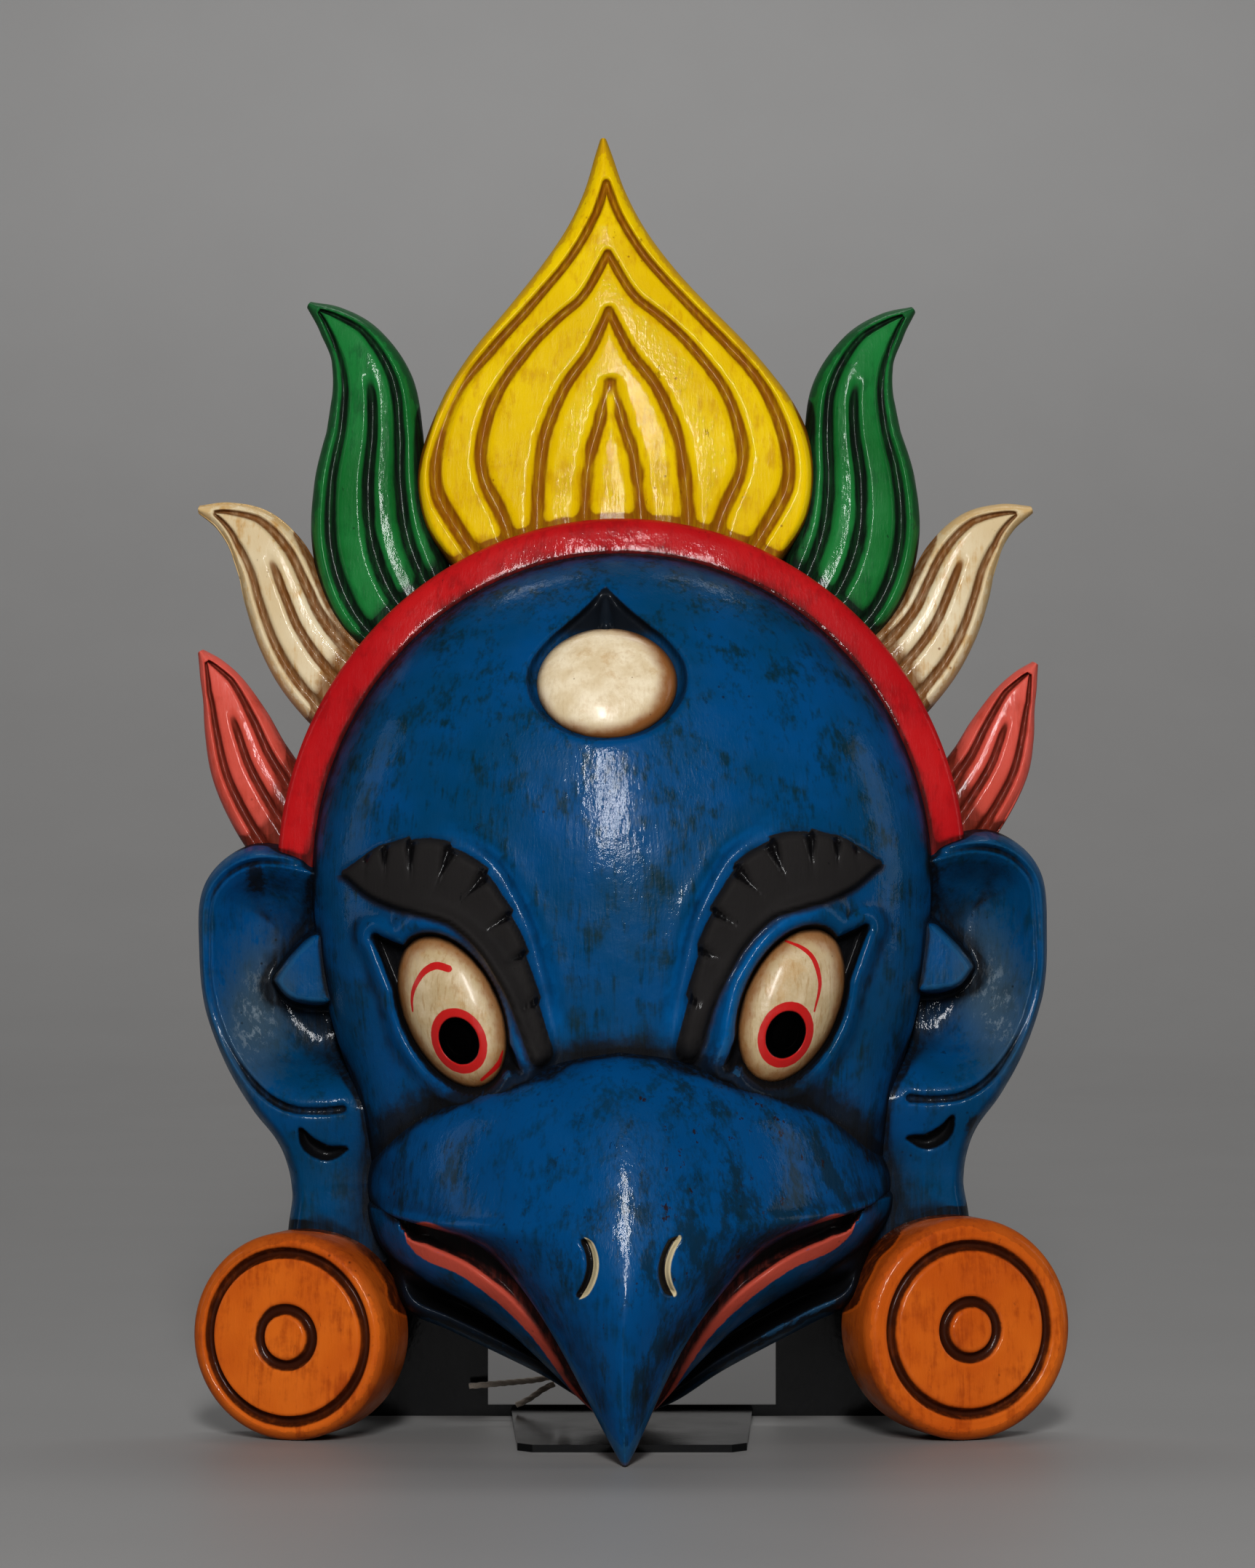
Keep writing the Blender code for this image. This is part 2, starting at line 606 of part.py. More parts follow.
EAR_OUTLINE = (
    (57, 112), (63, 117.2), (68.7, 119.4), (75, 119.9), (80.6, 117.3), (84.6, 113), (86.4, 107.5),
    (86.5, 99), (86.1, 91), (84.7, 84), (81, 74.5), (76, 66), (71.4, 60), (69.2, 55), (68.2, 49),
    (67.6, 36), (48, 33), (45, 47), (47, 66), (52, 90),
)
HELIX_LINE = (
    (61.5, 114.5), (70, 116.2), (76.5, 115.4), (81, 112.4), (83.4, 108), (83.8, 100), (83.5, 91),
    (81.2, 82.5), (77.5, 75.5), (72.6, 69.8), (67.3, 66.8), (61, 66.2), (57, 66.6),
)
BOWL_LOW = 64.5
BOWL_BACK = ((46.0, 66.6), (46.0, 114.5))
LOBE_CUT = ((65.4, 62.4), (63.8, 59.4), (60.4, 57.6), (56.6, 58.4))
TRAGUS = (
    (56, 104), (61.7, 102.6), (66.5, 98.6), (70.6, 93.2), (70.4, 91.2), (67.6, 88.2), (62.5, 87), (56, 87),
)


def ear_relief(x, z):
    """What is carved away from an ear's front: the bowl inside the rim, and the crescent below."""
    helix = spline(HELIX_LINE, 60)
    rim, _ = near_line(x, z, helix)
    within = rim * inside_of(x, z, np.vstack([helix, BOWL_BACK]))
    cut = EAR_BOWL_DEPTH * ramp(within, -0.4, 15.0) ** 0.6 * ramp(z, BOWL_LOW, BOWL_LOW + 13)
    cut = np.maximum(cut, 1.6 * groove(rim, 1.3))
    line = spline(TRAGUS, 50)
    far, _ = near_line(x, z, line)
    flap = ramp(inside_of(x, z, line) * far, -0.9, 1.4)
    cut = cut * (1 - flap) + 0.6 * flap
    crescent, along = near_line(x, z, spline(LOBE_CUT, 20))
    return np.maximum(cut, 2.2 * groove(crescent, 0.5 + 1.5 * (1 - (2 * along - 1) ** 2)))


def inside_of(x, z, outline):
    """1 inside a closed run of points and -1 outside it."""
    shape = np.shape(x)
    px = np.ravel(x)
    pz = np.ravel(z)
    odd = np.zeros(len(px), bool)
    for (ax, az), (bx, bz) in zip(outline, np.roll(outline, -1, 0)):
        crosses = (az > pz) != (bz > pz)
        if crosses.any():
            at = ax + (pz - az) / (bz - az if bz != az else 1e-9) * (bx - ax)
            odd ^= crosses & (px < at)
    return np.where(odd, 1.0, -1.0).reshape(shape)


def ear_grid(rows, columns):
    """Places (x, z) over an ear, row by row from the lobe's foot to the top, and its outline."""
    outline = spline(EAR_OUTLINE, 260, closed=True)
    top = int(outline[:, 1].argmax())
    turned = np.roll(outline, -top, 0)
    foot = int(turned[:, 1].argmin())
    outer = turned[: foot + 1][::-1]
    inner = np.vstack([turned[foot:], turned[:1]])
    share = np.sin(np.linspace(-1, 1, rows) * math.pi / 2) / 2 + 0.5
    z = outline[:, 1].min() + 0.05 + share * (np.ptp(outline[:, 1]) - 0.1)
    left = np.interp(z, np.maximum.accumulate(inner[:, 1]), inner[:, 0])
    right = np.interp(z, np.maximum.accumulate(outer[:, 1]), outer[:, 0])
    across = np.sin(np.linspace(-1, 1, columns) * math.pi / 2) / 2 + 0.5
    x = left[:, None] + (right - left)[:, None] * across
    return x, np.broadcast_to(z[:, None], x.shape), outline


def ear_skins(x, z, outline):
    """The depths of an ear's front and back."""
    edge, _ = near_line(x, z, np.vstack([outline, outline[:1]]))
    rise = np.sqrt(1 - (1 - np.clip(edge / EAR_ROUNDING, 0, 1)) ** 2)
    top = EAR_FRONT_D - EAR_FALL * ramp(x, 64.0, 90.0) - EAR_FALL * ramp(z, 70.0, 50.0)
    waist = EAR_BACK_D + 8.0
    front = waist + (top - waist) * rise - ear_relief(x, z) * rise
    back = waist - (waist - EAR_BACK_D) * np.clip(edge / 2.0, 0, 1) ** 0.5
    return front, np.minimum(back, front - 0.5)


def ears(collection, count=60):
    made = []
    for side, word in ((-1, "left"), (1, "right")):
        x, z, outline = ear_grid(count, count)
        front, back = ear_skins(x, z, outline)
        made.append(dome_object(f"ear_{word}", x * side, z, front, back, collection))
    return made


def disc_profile(radius):
    """From the middle of the face out and round to the middle of the back: radius and depth."""
    half = DISC_THICK / 2
    face = np.linspace(0, radius - DISC_EDGE, 40)
    inner = groove(np.abs(face - DISC_BOSS_RING + 0.7), 1.4)
    dip = DISC_GROOVE * (inner + groove(np.abs(face - DISC_RING), 1.3))
    dome = half + 0.8 * (1 - (face / radius) ** 2) - 0.5 * (face > DISC_BOSS_RING)
    turn = np.linspace(0, math.pi, 14)[1:]
    side = []
    for a in turn:
        out = radius - DISC_EDGE + DISC_EDGE * math.sin(a)
        side.append((out, (half - DISC_EDGE) * np.sign(math.cos(a)) + DISC_EDGE * math.cos(a)))
    return [(r, d) for r, d in zip(face, dome - dip)] + side + [(0.0, -half)]


def discs(collection, steps=48):
    """Two thick turned discs under the ears. Each is set so that it just reaches the table."""
    made = []
    for side, word in ((-1, "left"), (1, "right")):
        radius = DISC_RADIUS[side]
        profile = disc_profile(radius)
        turn = np.linspace(0, 2 * math.pi, steps, endpoint=False)
        rings = []
        for r, d in profile:
            r = max(r, 0.01)
            a = r * np.cos(turn)
            out = a * math.cos(DISC_TURN) + d * math.sin(DISC_TURN)
            deep = d * math.cos(DISC_TURN) - a * math.sin(DISC_TURN)
            rings.append(np.stack([out * side, r * np.sin(turn), deep], 1))
        rings = np.array(rings)
        x = DISC_X[side]
        z = radius / math.cos(SIDE_LEAN) - x * math.tan(SIDE_LEAN)
        rings += (x, z, DISC_MIDDLE_D)
        made.append(loft(f"disc_{word}", rings, collection))
    return made


# Stand and string


def plate(name, outline, thick, collection):
    """A sheet cut to an outline in the x-y plane, from z = 0 up to its thickness."""
    curve = bpy.data.curves.new(name, "CURVE")
    curve.dimensions = "2D"
    curve.fill_mode = "BOTH"
    curve.extrude = thick / 2 * MM
    add_outline(curve, outline)
    made = bpy.data.objects.new(name, curve)
    collection.objects.link(made)
    return made


def add_outline(curve, outline):
    line = curve.splines.new("POLY")
    line.points.add(len(outline) - 1)
    for point, (x, y) in zip(line.points, outline):
        point.co = (x * MM, y * MM, 0, 1)
    line.use_cyclic_u = True


def as_mesh(made, collection):
    """The same shape as a closed mesh in world space, with the old object removed."""
    bpy.context.view_layer.update()
    graph = bpy.context.evaluated_depsgraph_get()
    mesh = bpy.data.meshes.new_from_object(made.evaluated_get(graph))
    mesh.transform(made.matrix_world)
    new = bpy.data.objects.new(made.name, mesh)
    name = made.name
    bpy.data.objects.remove(made)
    new.name = name
    collection.objects.link(new)
    work = bmesh.new()
    work.from_mesh(mesh)
    bmesh.ops.remove_doubles(work, verts=work.verts, dist=1e-6)
    bmesh.ops.recalc_face_normals(work, faces=work.faces)
    work.to_mesh(mesh)
    work.free()
    return new


def rounded(x0, x1, y0, y1, low, high, steps=5):
    """A rectangle whose lower and upper corners have their own radii."""
    points = []
    for cx, cy, r, start in (
        (x1 - low, y0 + low, low, -90), (x1 - high, y1 - high, high, 0),
        (x0 + high, y1 - high, high, 90), (x0 + low, y0 + low, low, 180),
    ):
        if r == 0:
            points.append((cx, cy))
            continue
        for k in range(steps + 1):
            a = math.radians(start + 90 * k / steps)
            points.append((cx + r * math.cos(a), cy + r * math.sin(a)))
    return points


def stand(collection, cutters):
    """The upright with its opening, and the tongue that was cut from it, joined at the bend."""
    half = UPRIGHT_WIDTH / 2
    cut_half = CUTOUT_WIDTH / 2
    upright = plate("stand", rounded(-half, half, 0, UPRIGHT_HIGH, 0, CORNER), SHEET, collection)
    top = SHEET + TONGUE_LONG
    add_outline(upright.data, rounded(-cut_half, cut_half, BEND_STRIP, top, 0, CORNER))
    upright.rotation_euler = (math.pi / 2, 0, 0)
    upright.location = (0, -SHEET / 2 * MM, 0)
    upright = as_mesh(upright, collection)
    front = TONGUE_FRONT_WIDTH / 2
    rear = TONGUE_BACK_WIDTH / 2
    start = -SHEET / 2
    reach = start - TONGUE_LONG
    outline = [
        (-rear, start), (-front, reach + TONGUE_CORNER), (-front + TONGUE_CORNER, reach),
        (front - TONGUE_CORNER, reach), (front, reach + TONGUE_CORNER), (rear, start),
    ]
    tongue = plate("tongue", outline, SHEET, cutters)
    tongue.location = (0, 0, SHEET / 2 * MM)
    tongue = as_mesh(tongue, cutters)
    join = upright.modifiers.new("tongue", "BOOLEAN")
    join.object = tongue
    join.operation = "UNION"
    tongue.hide_render = True
    tongue.display_type = "WIRE"
    return upright


def string_y():
    """The string hangs midway between the upright and the back of the chin."""
    chin_back = to_world(0.0, KNOT[1], 0.0)[1] / MM
    return (chin_back - SHEET) / 2


def tube(name, points, collection, count):
    """A cord along a smooth curve through the points, which are in millimetres in the world."""
    path = spline(points, count)
    curve = bpy.data.curves.new(name, "CURVE")
    curve.dimensions = "3D"
    curve.bevel_depth = STRING / 2 * MM
    curve.bevel_resolution = 2
    curve.use_fill_caps = True
    line = curve.splines.new("POLY")
    line.points.add(count - 1)
    for point, place in zip(line.points, path):
        point.co = (*(place * MM), 1)
    made = bpy.data.objects.new(name, curve)
    collection.objects.link(made)
    return made


def hole_place(side, share):
    """A place in a string hole, in millimetres in the world: share 0 at its mouth and 1 at its end."""
    wall = DRAWN_WIDTH / 2 - HOLLOW_WALL
    return to_world(side * (wall + HOLE_DEEP * share), HOLE_Z, HOLE_D) / MM


def string_hole(side, cutters):
    """The cutter of one string hole, bored outward from the side of the hollow."""
    name = "string_hole_left" if side < 0 else "string_hole_right"
    ring = []
    for share in (-1.0, 1.0):
        place = hole_place(side, share)
        turn = np.linspace(0, 2 * math.pi, 12, endpoint=False)
        ring.append([place + (0, HOLE_WIDTH / 2 * math.cos(a), HOLE_WIDTH / 2 * math.sin(a)) for a in turn])
    points = [p * MM for end in ring for p in end]
    faces = [(k, (k + 1) % 12, 12 + (k + 1) % 12, 12 + k) for k in range(12)]
    faces += [tuple(range(12)), tuple(range(23, 11, -1))]
    return object_of(name, points, faces, cutters)


def string(collection):
    y = string_y()
    kx, kz = KNOT
    edge = KNOT_SIZE / 2 + GAP
    made = []
    for side, word in ((-1, "left"), (1, "right")):
        start = hole_place(side, 0.6)
        points = [
            start,
            start + (-side * 7.0, 1.0, -1.0),
            start + (-side * 13.0, 2.5, -12.0),
            np.array((side * 31.0, y - 2.5, 58)),
            np.array((side * 19.0 - 4, y, 36)),
            np.array((kx + side * (edge + 6), y, kz + edge + 10)),
            np.array((kx + side * edge * 0.62, y, kz + edge * 0.8)),
        ]
        made.append(tube(f"string_{word}", points, collection, 32))
    ends = {
        "upper": [(kx - edge, y, kz - 0.5), (kx - 6, y, kz - 1.2), (-26, y, 7.4), (-33.5, y, 6.7)],
        "lower": [
            (kx - edge * 0.75, y, kz - edge * 0.75), (-18.4, y, 6.0), (-21, y, 4.2), (-23.8, y, 2.75),
        ],
    }
    for word, points in ends.items():
        made.append(tube(f"string_end_{word}", np.array(points), collection, 9))
    bpy.ops.mesh.primitive_uv_sphere_add(
        segments=12, ring_count=8, radius=KNOT_SIZE / 2 * MM, location=(kx * MM, y * MM, kz * MM)
    )
    knot = bpy.context.object
    knot.name = "string_knot"
    for other in knot.users_collection:
        other.objects.unlink(knot)
    collection.objects.link(knot)
    return [*made, knot]


def material(name, colour, roughness, metallic=0.0):
    made = bpy.data.materials.new(name)
    made.use_nodes = True
    shader = made.node_tree.nodes["Principled BSDF"]
    shader.inputs["Base Color"].default_value = (*colour, 1)
    shader.inputs["Roughness"].default_value = roughness
    shader.inputs["Metallic"].default_value = metallic
    return made


def mask(collection, cutters):
    """All the carved forms made one solid, then hollowed from behind."""
    forms = [*petals(cutters), band(cutters), head(cutters), beak(cutters), jaw(cutters)]
    forms += [*ears(cutters), *discs(cutters)]
    work = bmesh.new()
    for form in forms:
        work.from_mesh(form.data)
    mesh = bpy.data.meshes.new("mask")
    work.to_mesh(mesh)
    work.free()
    for form in forms:
        bpy.data.objects.remove(form)
    made = bpy.data.objects.new("mask", mesh)
    collection.objects.link(made)
    block = made.modifiers.new("one_block", "REMESH")
    block.mode = "VOXEL"
    block.voxel_size = CAD_VOXEL * MM
    facets = made.modifiers.new("facets", "DECIMATE")
    facets.ratio = 0.5
    bpy.context.view_layer.update()
    facets.show_viewport = False
    facets.show_render = False
    graph = bpy.context.evaluated_depsgraph_get()
    dense = len(made.evaluated_get(graph).to_mesh().loop_triangles) or 1
    facets.show_viewport = True
    facets.show_render = True
    facets.ratio = min(1.0, MASK_FACES / dense)
    made = as_mesh(made, collection)
    for cutter in (hollow(cutters), string_hole(-1, cutters), string_hole(1, cutters)):
        cut = made.modifiers.new(cutter.name, "BOOLEAN")
        cut.object = cutter
        cut.operation = "DIFFERENCE"
        cutter.hide_render = True
        cutter.display_type = "WIRE"
    return made


def put_origin_below(names):
    """Everything hangs from one empty, moved so that the origin is at the middle of the base."""
    bpy.context.view_layer.update()
    graph = bpy.context.evaluated_depsgraph_get()
    corners = []
    for name in names:
        mesh = bpy.data.objects[name].evaluated_get(graph).to_mesh()
        places = np.zeros(len(mesh.vertices) * 3)
        mesh.vertices.foreach_get("co", places)
        places = places.reshape(-1, 3)
        corners += [places.min(0), places.max(0)]
    low = np.min(corners, 0)
    high = np.max(corners, 0)
    pivot = bpy.data.objects.new("origin", None)
    bpy.context.scene.collection.objects.link(pivot)
    for piece in list(bpy.data.objects):
        if piece is not pivot:
            piece.parent = pivot
    pivot.location = (-(low[0] + high[0]) / 2, -(low[1] + high[1]) / 2, -low[2])


def main():
    for old in list(bpy.data.objects):
        bpy.data.objects.remove(old)
    collection = bpy.data.collections.new("garuda_mask")
    bpy.context.scene.collection.children.link(collection)
    cutters = bpy.data.collections.new("cutters")
    bpy.context.scene.collection.children.link(cutters)
    cutters.hide_render = True
    paint = material("painted_wood", (0.01, 0.09, 0.24), 0.4)
    steel = material("black_steel", (0.012, 0.012, 0.014), 0.35, 0.6)
    cotton = material("cotton", (0.45, 0.4, 0.36), 0.9)
    mask(collection, cutters).data.materials.append(paint)
    stand(collection, cutters).data.materials.append(steel)
    for piece in string(collection):
        piece.data.materials.append(cotton)
    put_origin_below(["mask", "stand"])


main()
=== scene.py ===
"""The look of the painted garuda mask, its steel stand and its cotton string."""

import math

import bmesh
import bpy
import numpy as np
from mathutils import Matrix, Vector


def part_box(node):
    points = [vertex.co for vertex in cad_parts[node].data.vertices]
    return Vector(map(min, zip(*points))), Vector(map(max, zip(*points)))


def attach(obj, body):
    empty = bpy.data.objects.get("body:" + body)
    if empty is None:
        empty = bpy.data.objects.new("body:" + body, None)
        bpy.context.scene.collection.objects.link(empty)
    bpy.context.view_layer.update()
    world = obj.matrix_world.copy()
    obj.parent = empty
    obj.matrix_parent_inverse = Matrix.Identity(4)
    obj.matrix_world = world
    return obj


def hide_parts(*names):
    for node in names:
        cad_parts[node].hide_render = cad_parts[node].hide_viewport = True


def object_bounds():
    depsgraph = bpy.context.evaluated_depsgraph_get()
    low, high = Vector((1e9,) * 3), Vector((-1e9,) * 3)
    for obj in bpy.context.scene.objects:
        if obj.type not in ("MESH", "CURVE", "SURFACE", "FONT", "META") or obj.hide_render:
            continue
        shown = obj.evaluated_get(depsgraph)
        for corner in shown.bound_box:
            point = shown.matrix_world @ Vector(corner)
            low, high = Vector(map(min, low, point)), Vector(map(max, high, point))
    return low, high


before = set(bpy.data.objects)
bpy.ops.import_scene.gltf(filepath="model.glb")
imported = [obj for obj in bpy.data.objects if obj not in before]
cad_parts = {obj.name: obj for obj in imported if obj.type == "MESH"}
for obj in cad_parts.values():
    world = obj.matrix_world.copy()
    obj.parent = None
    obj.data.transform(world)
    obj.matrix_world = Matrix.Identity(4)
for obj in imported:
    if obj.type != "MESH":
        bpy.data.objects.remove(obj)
CAD_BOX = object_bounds()

# The mask's own plane: x to the right, z up and d forward from its flat back, in millimetres

MM = 0.001
SIDE_LEAN = math.radians(1.1)  # the carving leans to its right, the viewer's left
LEAN_PIVOT_Z = 7.0
TILT_BACK = math.radians(5.0)  # the mask leans back on the stand
FACE_SHIFT = -2.1  # the face's own middle line, beside the block's
CREST_UNEVEN = 1.7  # how much higher the left petals stand than the middle of the pair
HEAD_WIDTH = 126.0
DRAWN_WIDTH = 126.0  # the head's width in the drawing that every outline below belongs to
HEAD_TOP = 178.0
HEAD_CENTRE_Z = 112.0
CHIN_Z = 3.5
HEAD_RIM_D = 20.0
HEAD_RISE = 36.0
HOLLOW_WALL = 12.0
HOLLOW_DEPTH = 38.0
BAND_WIDTH = 8.8
BAND_PROUD = 7.0  # how far it stands out past the head's outline
BAND_FRONT_D = 25.0
BAND_BACK_D = 1.5
BAND_ENDS_Z = 114.0
EAR_FRONT_D = 27.5
EAR_FALL = 6.0  # how much lower its outer rim and its lobe lie than its top beside the head
EAR_ROUNDING = 3.0
EAR_BOWL_DEPTH = 12.0
EAR_BACK_D = 2.0
DISC_RADIUS = {-1: 20.6, 1: 22.0}
DISC_THICK = 17.0
DISC_EDGE = 3.0  # the rounding of its rim
DISC_TURN = math.radians(18.0)  # each disc faces a little outward
DISC_X = {-1: -66.0, 1: 65.0}
DISC_MIDDLE_D = 24.0
DISC_BOSS_RING = 6.2
DISC_RING = 16.6
DISC_GROOVE = 1.9
BEAK_ROWS = (
    (78.2, 1.0, 54.0, 52.0),
    (77.0, 11.0, 57.5, 51.0),
    (75.0, 18.0, 60.5, 49.0),
    (72.0, 26.5, 63.0, 46.0),
    (68.0, 38.0, 65.5, 39.0),
    (62.0, 47.5, 68.0, 29.0),
    (54.5, 52.2, 70.5, 21.0),
    (48.0, 53.4, 72.3, 19.0),
    (45.8, 49.0, 72.9, 33.0),
    (44.6, 41.5, 73.2, 43.0),
    (43.0, 35.0, 73.6, 47.5),
    (40.5, 28.5, 74.2, 50.5),
    (36.5, 23.6, 75.0, 53.0),
    (31.5, 19.0, 75.8, 55.5),
    (25.5, 14.5, 76.4, 58.0),
    (19.5, 10.8, 76.6, 60.5),
    (12.8, 7.3, 76.2, 63.0),
    (7.5, 4.6, 75.2, 65.5),
    (3.0, 2.3, 73.8, 68.0),
    (0.4, 0.6, 72.4, 70.5),
)
BEAK_UNDER = 3.0  # how far its underside hollows back from its edges
BEAK_ROOT = 14.0  # how much further back it reaches inside the head
MUZZLE_BEND = ((0, -1.5), (21, -1.6), (35, -0.6), (45, 0.4), (60, -0.6), (78, -1.0))
NOSTRIL_X = 8.6
NOSTRIL_Z = 38.0
ROW_SOFTNESS = 0.45
JAW_ROWS = (
    (3.2, 1.5, 47.0, 40.0),
    (8.0, 7.5, 49.5, 38.0),
    (12.5, 11.8, 50.5, 37.0),
    (18.0, 17.4, 51.5, 36.0),
    (23.8, 24.0, 52.5, 34.0),
    (29.0, 33.0, 53.5, 30.0),
    (33.0, 43.0, 54.2, 24.0),
    (36.0, 47.5, 54.8, 21.0),
    (40.0, 51.2, 55.6, 19.5),
    (45.0, 53.2, 56.5, 19.0),
    (50.0, 53.0, 57.0, 19.0),
)
EYE_CENTRE = (33.6, 86.4)
EYE_LONG = 16.0
EYE_SHORT = 9.2
EYE_TILT = math.radians(24.0)
EYE_CORNERS = ((48.6, 101.2), (20.6, 75.2))
CORNER_TAPER = 9.4
IRIS_CENTRE = (32.1, 80.8)
SOCKET_DEPTH = 3.6
BALL_RISE = 6.4
LID_RISE = 2.6
LID_WIDTH = 2.0
BROW_RISE = 3.6
THIRD_EYE = (-2.2, 150.6)
THIRD_EYE_LONG = 14.0
THIRD_EYE_HIGH = 11.2
TEARDROP = (
    (139.3, 0.0), (139.6, 4.0), (141.0, 8.4), (143.6, 12.2), (147.2, 15.0), (151.4, 16.0),
    (155.2, 15.2),
    (159.2, 12.3), (162.6, 8.4), (165.6, 4.9), (168.2, 2.3), (170.4, 0.3),
)
TEARDROP_DEPTH = 3.4
GROOVE_WIDTH = 1.25
GROOVE_DEPTH = 1.7
SHEET = 1.5
UPRIGHT_HIGH = 128.0
STRING = 1.3
GAP = 0.3
HOLE_Z = 96.0
HOLE_D = 8.0
HOLE_DEEP = 6.0
KNOT = (-14.0, 9.2)
KNOT_SIZE = 4.6
YELLOW_LINE = (
    (0.6, 160), (0.5, 176), (0.2, 195), (-0.6, 213), (-0.9, 230), (-0.9, 248), (-1.0, 265.0),
)
YELLOW_WIDTHS = (
    (160, 22), (170, 30), (176, 34.2), (183.6, 39.2), (190.8, 41), (197.6, 40.8), (205, 38.4),
    (213, 34.1), (221.8, 27.6), (229.5, 20.7), (237.7, 13.8), (246.2, 7.9), (253.8, 4.2),
    (261.8, 1.6),
    (265, 0.5),
)
YELLOW_GROOVES = (
    ((0, 255), (2.5, 248), (7.5, 239.5), (15.2, 230.4), (23.6, 221.2), (30.8, 212.5), (35.3, 201.7),
     (36, 192), (31.8, 183.6), (24, 172)),
    ((0, 240), (5.0, 231.4), (10.5, 226.6), (16.4, 220.7), (23.4, 211), (26.5, 201.2),
     (26.2, 193.8), (22.2, 185), (18.5, 172)),
    ((0, 228), (4.1, 219.5), (8.7, 213.2), (12, 206.5), (14, 200), (15.3, 188), (15.5, 172)),
    ((0.4, 213), (2.4, 204.7), (4.4, 198), (5.6, 188), (6.4, 172)),
)
LEAVES = {
    "green": (
        ((40, 163), (46, 171), (49.6, 181), (50.3, 192), (49.3, 203), (49.6, 212), (52.6, 220),
         (57.5, 225.6), (62.4, 229.3)),
        (11, 13, 13, 11.8, 10, 8.6, 6.2, 3.7, 0.8),
        1.0, 14.5, 10.0, 2.0, (0.66, -0.53, 0.02, 0.95), CREST_UNEVEN,
    ),
    "cream": (
        ((50, 145), (56, 151.5), (61.5, 157.5), (65.5, 163.5), (68.3, 170), (71, 176.5), (75, 182),
         (80.3, 185.6), (86, 187.4)),
        (10, 10.5, 10, 9.2, 8.6, 7.6, 6, 3.4, 0.8),
        0.6, 12.0, 8.0, 1.6, (0.62, -0.55, 0.0, 0.93), CREST_UNEVEN,
    ),
    "pink": (
        ((62, 112), (67, 120), (72, 127.5), (76, 134.5), (78.6, 141.5), (81, 148), (83.6, 153),
         (86, 156.8)),
        (8, 9, 9, 8.3, 7, 5, 3, 0.7), 0.4, 9.6, 7.0, 1.2, (0.6, -0.55, 0.0, 0.92),
        CREST_UNEVEN * 1.7,
    ),
}
HEAD_LOWER = (
    (1.0, 1.0), (0.975, 0.84), (0.93, 0.72), (0.875, 0.62), (0.825, 0.5), (0.8, 0.38), (0.76, 0.27),
    (0.71, 0.205), (0.58, 0.168), (0.43, 0.125), (0.28, 0.08), (0.14, 0.03), (0, 0.0),
)
BROW_LINE = (
    (53, 113.8), (47.5, 113.6), (42, 113.6), (36, 113.2), (29.6, 110.2), (25.2, 105.4), (22, 100.5),
    (19.6, 95), (17.2, 88.5), (14.3, 78.3),
)
BROW_HALF_WIDTHS = (0.8, 4.8, 7.0, 7.8, 7.0, 5.6, 4.7, 3.8, 3.0, 2.4)
EAR_OUTLINE = (
    (57, 112), (63, 117.2), (68.7, 119.4), (75, 119.9), (80.6, 117.3), (84.6, 113), (86.4, 107.5),
    (86.5, 99), (86.1, 91), (84.7, 84), (81, 74.5), (76, 66), (71.4, 60), (69.2, 55), (68.2, 49),
    (67.6, 36), (48, 33), (45, 47), (47, 66), (52, 90),
)
HELIX_LINE = (
    (61.5, 114.5), (70, 116.2), (76.5, 115.4), (81, 112.4), (83.4, 108), (83.8, 100), (83.5, 91),
    (81.2, 82.5), (77.5, 75.5), (72.6, 69.8), (67.3, 66.8), (61, 66.2), (57, 66.6),
)
BOWL_LOW = 64.5
BOWL_BACK = ((46.0, 66.6), (46.0, 114.5))
LOBE_CUT = ((65.4, 62.4), (63.8, 59.4), (60.4, 57.6), (56.6, 58.4))
TRAGUS = (
    (56, 104), (61.7, 102.6), (66.5, 98.6), (70.6, 93.2), (70.4, 91.2), (67.6, 88.2), (62.5, 87),
    (56, 87),
)


def smooth_keys(keys, values, at):
    """A smooth curve through (keys, values), read at the places in at."""
    keys = np.asarray(keys, float)
    values = np.asarray(values, float)
    slope = np.gradient(values, keys)
    at = np.clip(at, keys[0], keys[-1])
    i = np.clip(np.searchsorted(keys, at) - 1, 0, len(keys) - 2)
    span = keys[i + 1] - keys[i]
    u = (at - keys[i]) / span
    low = (1 + 2 * u) * (1 - u) ** 2 * values[i] + u * (1 - u) ** 2 * span * slope[i]
    high = u * u * (3 - 2 * u) * values[i + 1] + u * u * (u - 1) * span * slope[i + 1]
    return low + high


def spline(points, count, closed=False):
    """Points evenly spaced in parameter on a smooth curve through the given ones."""
    p = np.asarray(points, float)
    if closed:
        p = np.vstack([p[-2:], p, p[:3]])
        keys = np.arange(len(p)) - 2.0
        at = np.linspace(0, len(points), count, endpoint=False)
    else:
        keys = np.arange(len(p), dtype=float)
        at = np.linspace(0, len(p) - 1, count)
    return np.stack([smooth_keys(keys, p[:, k], at) for k in range(p.shape[1])], 1)


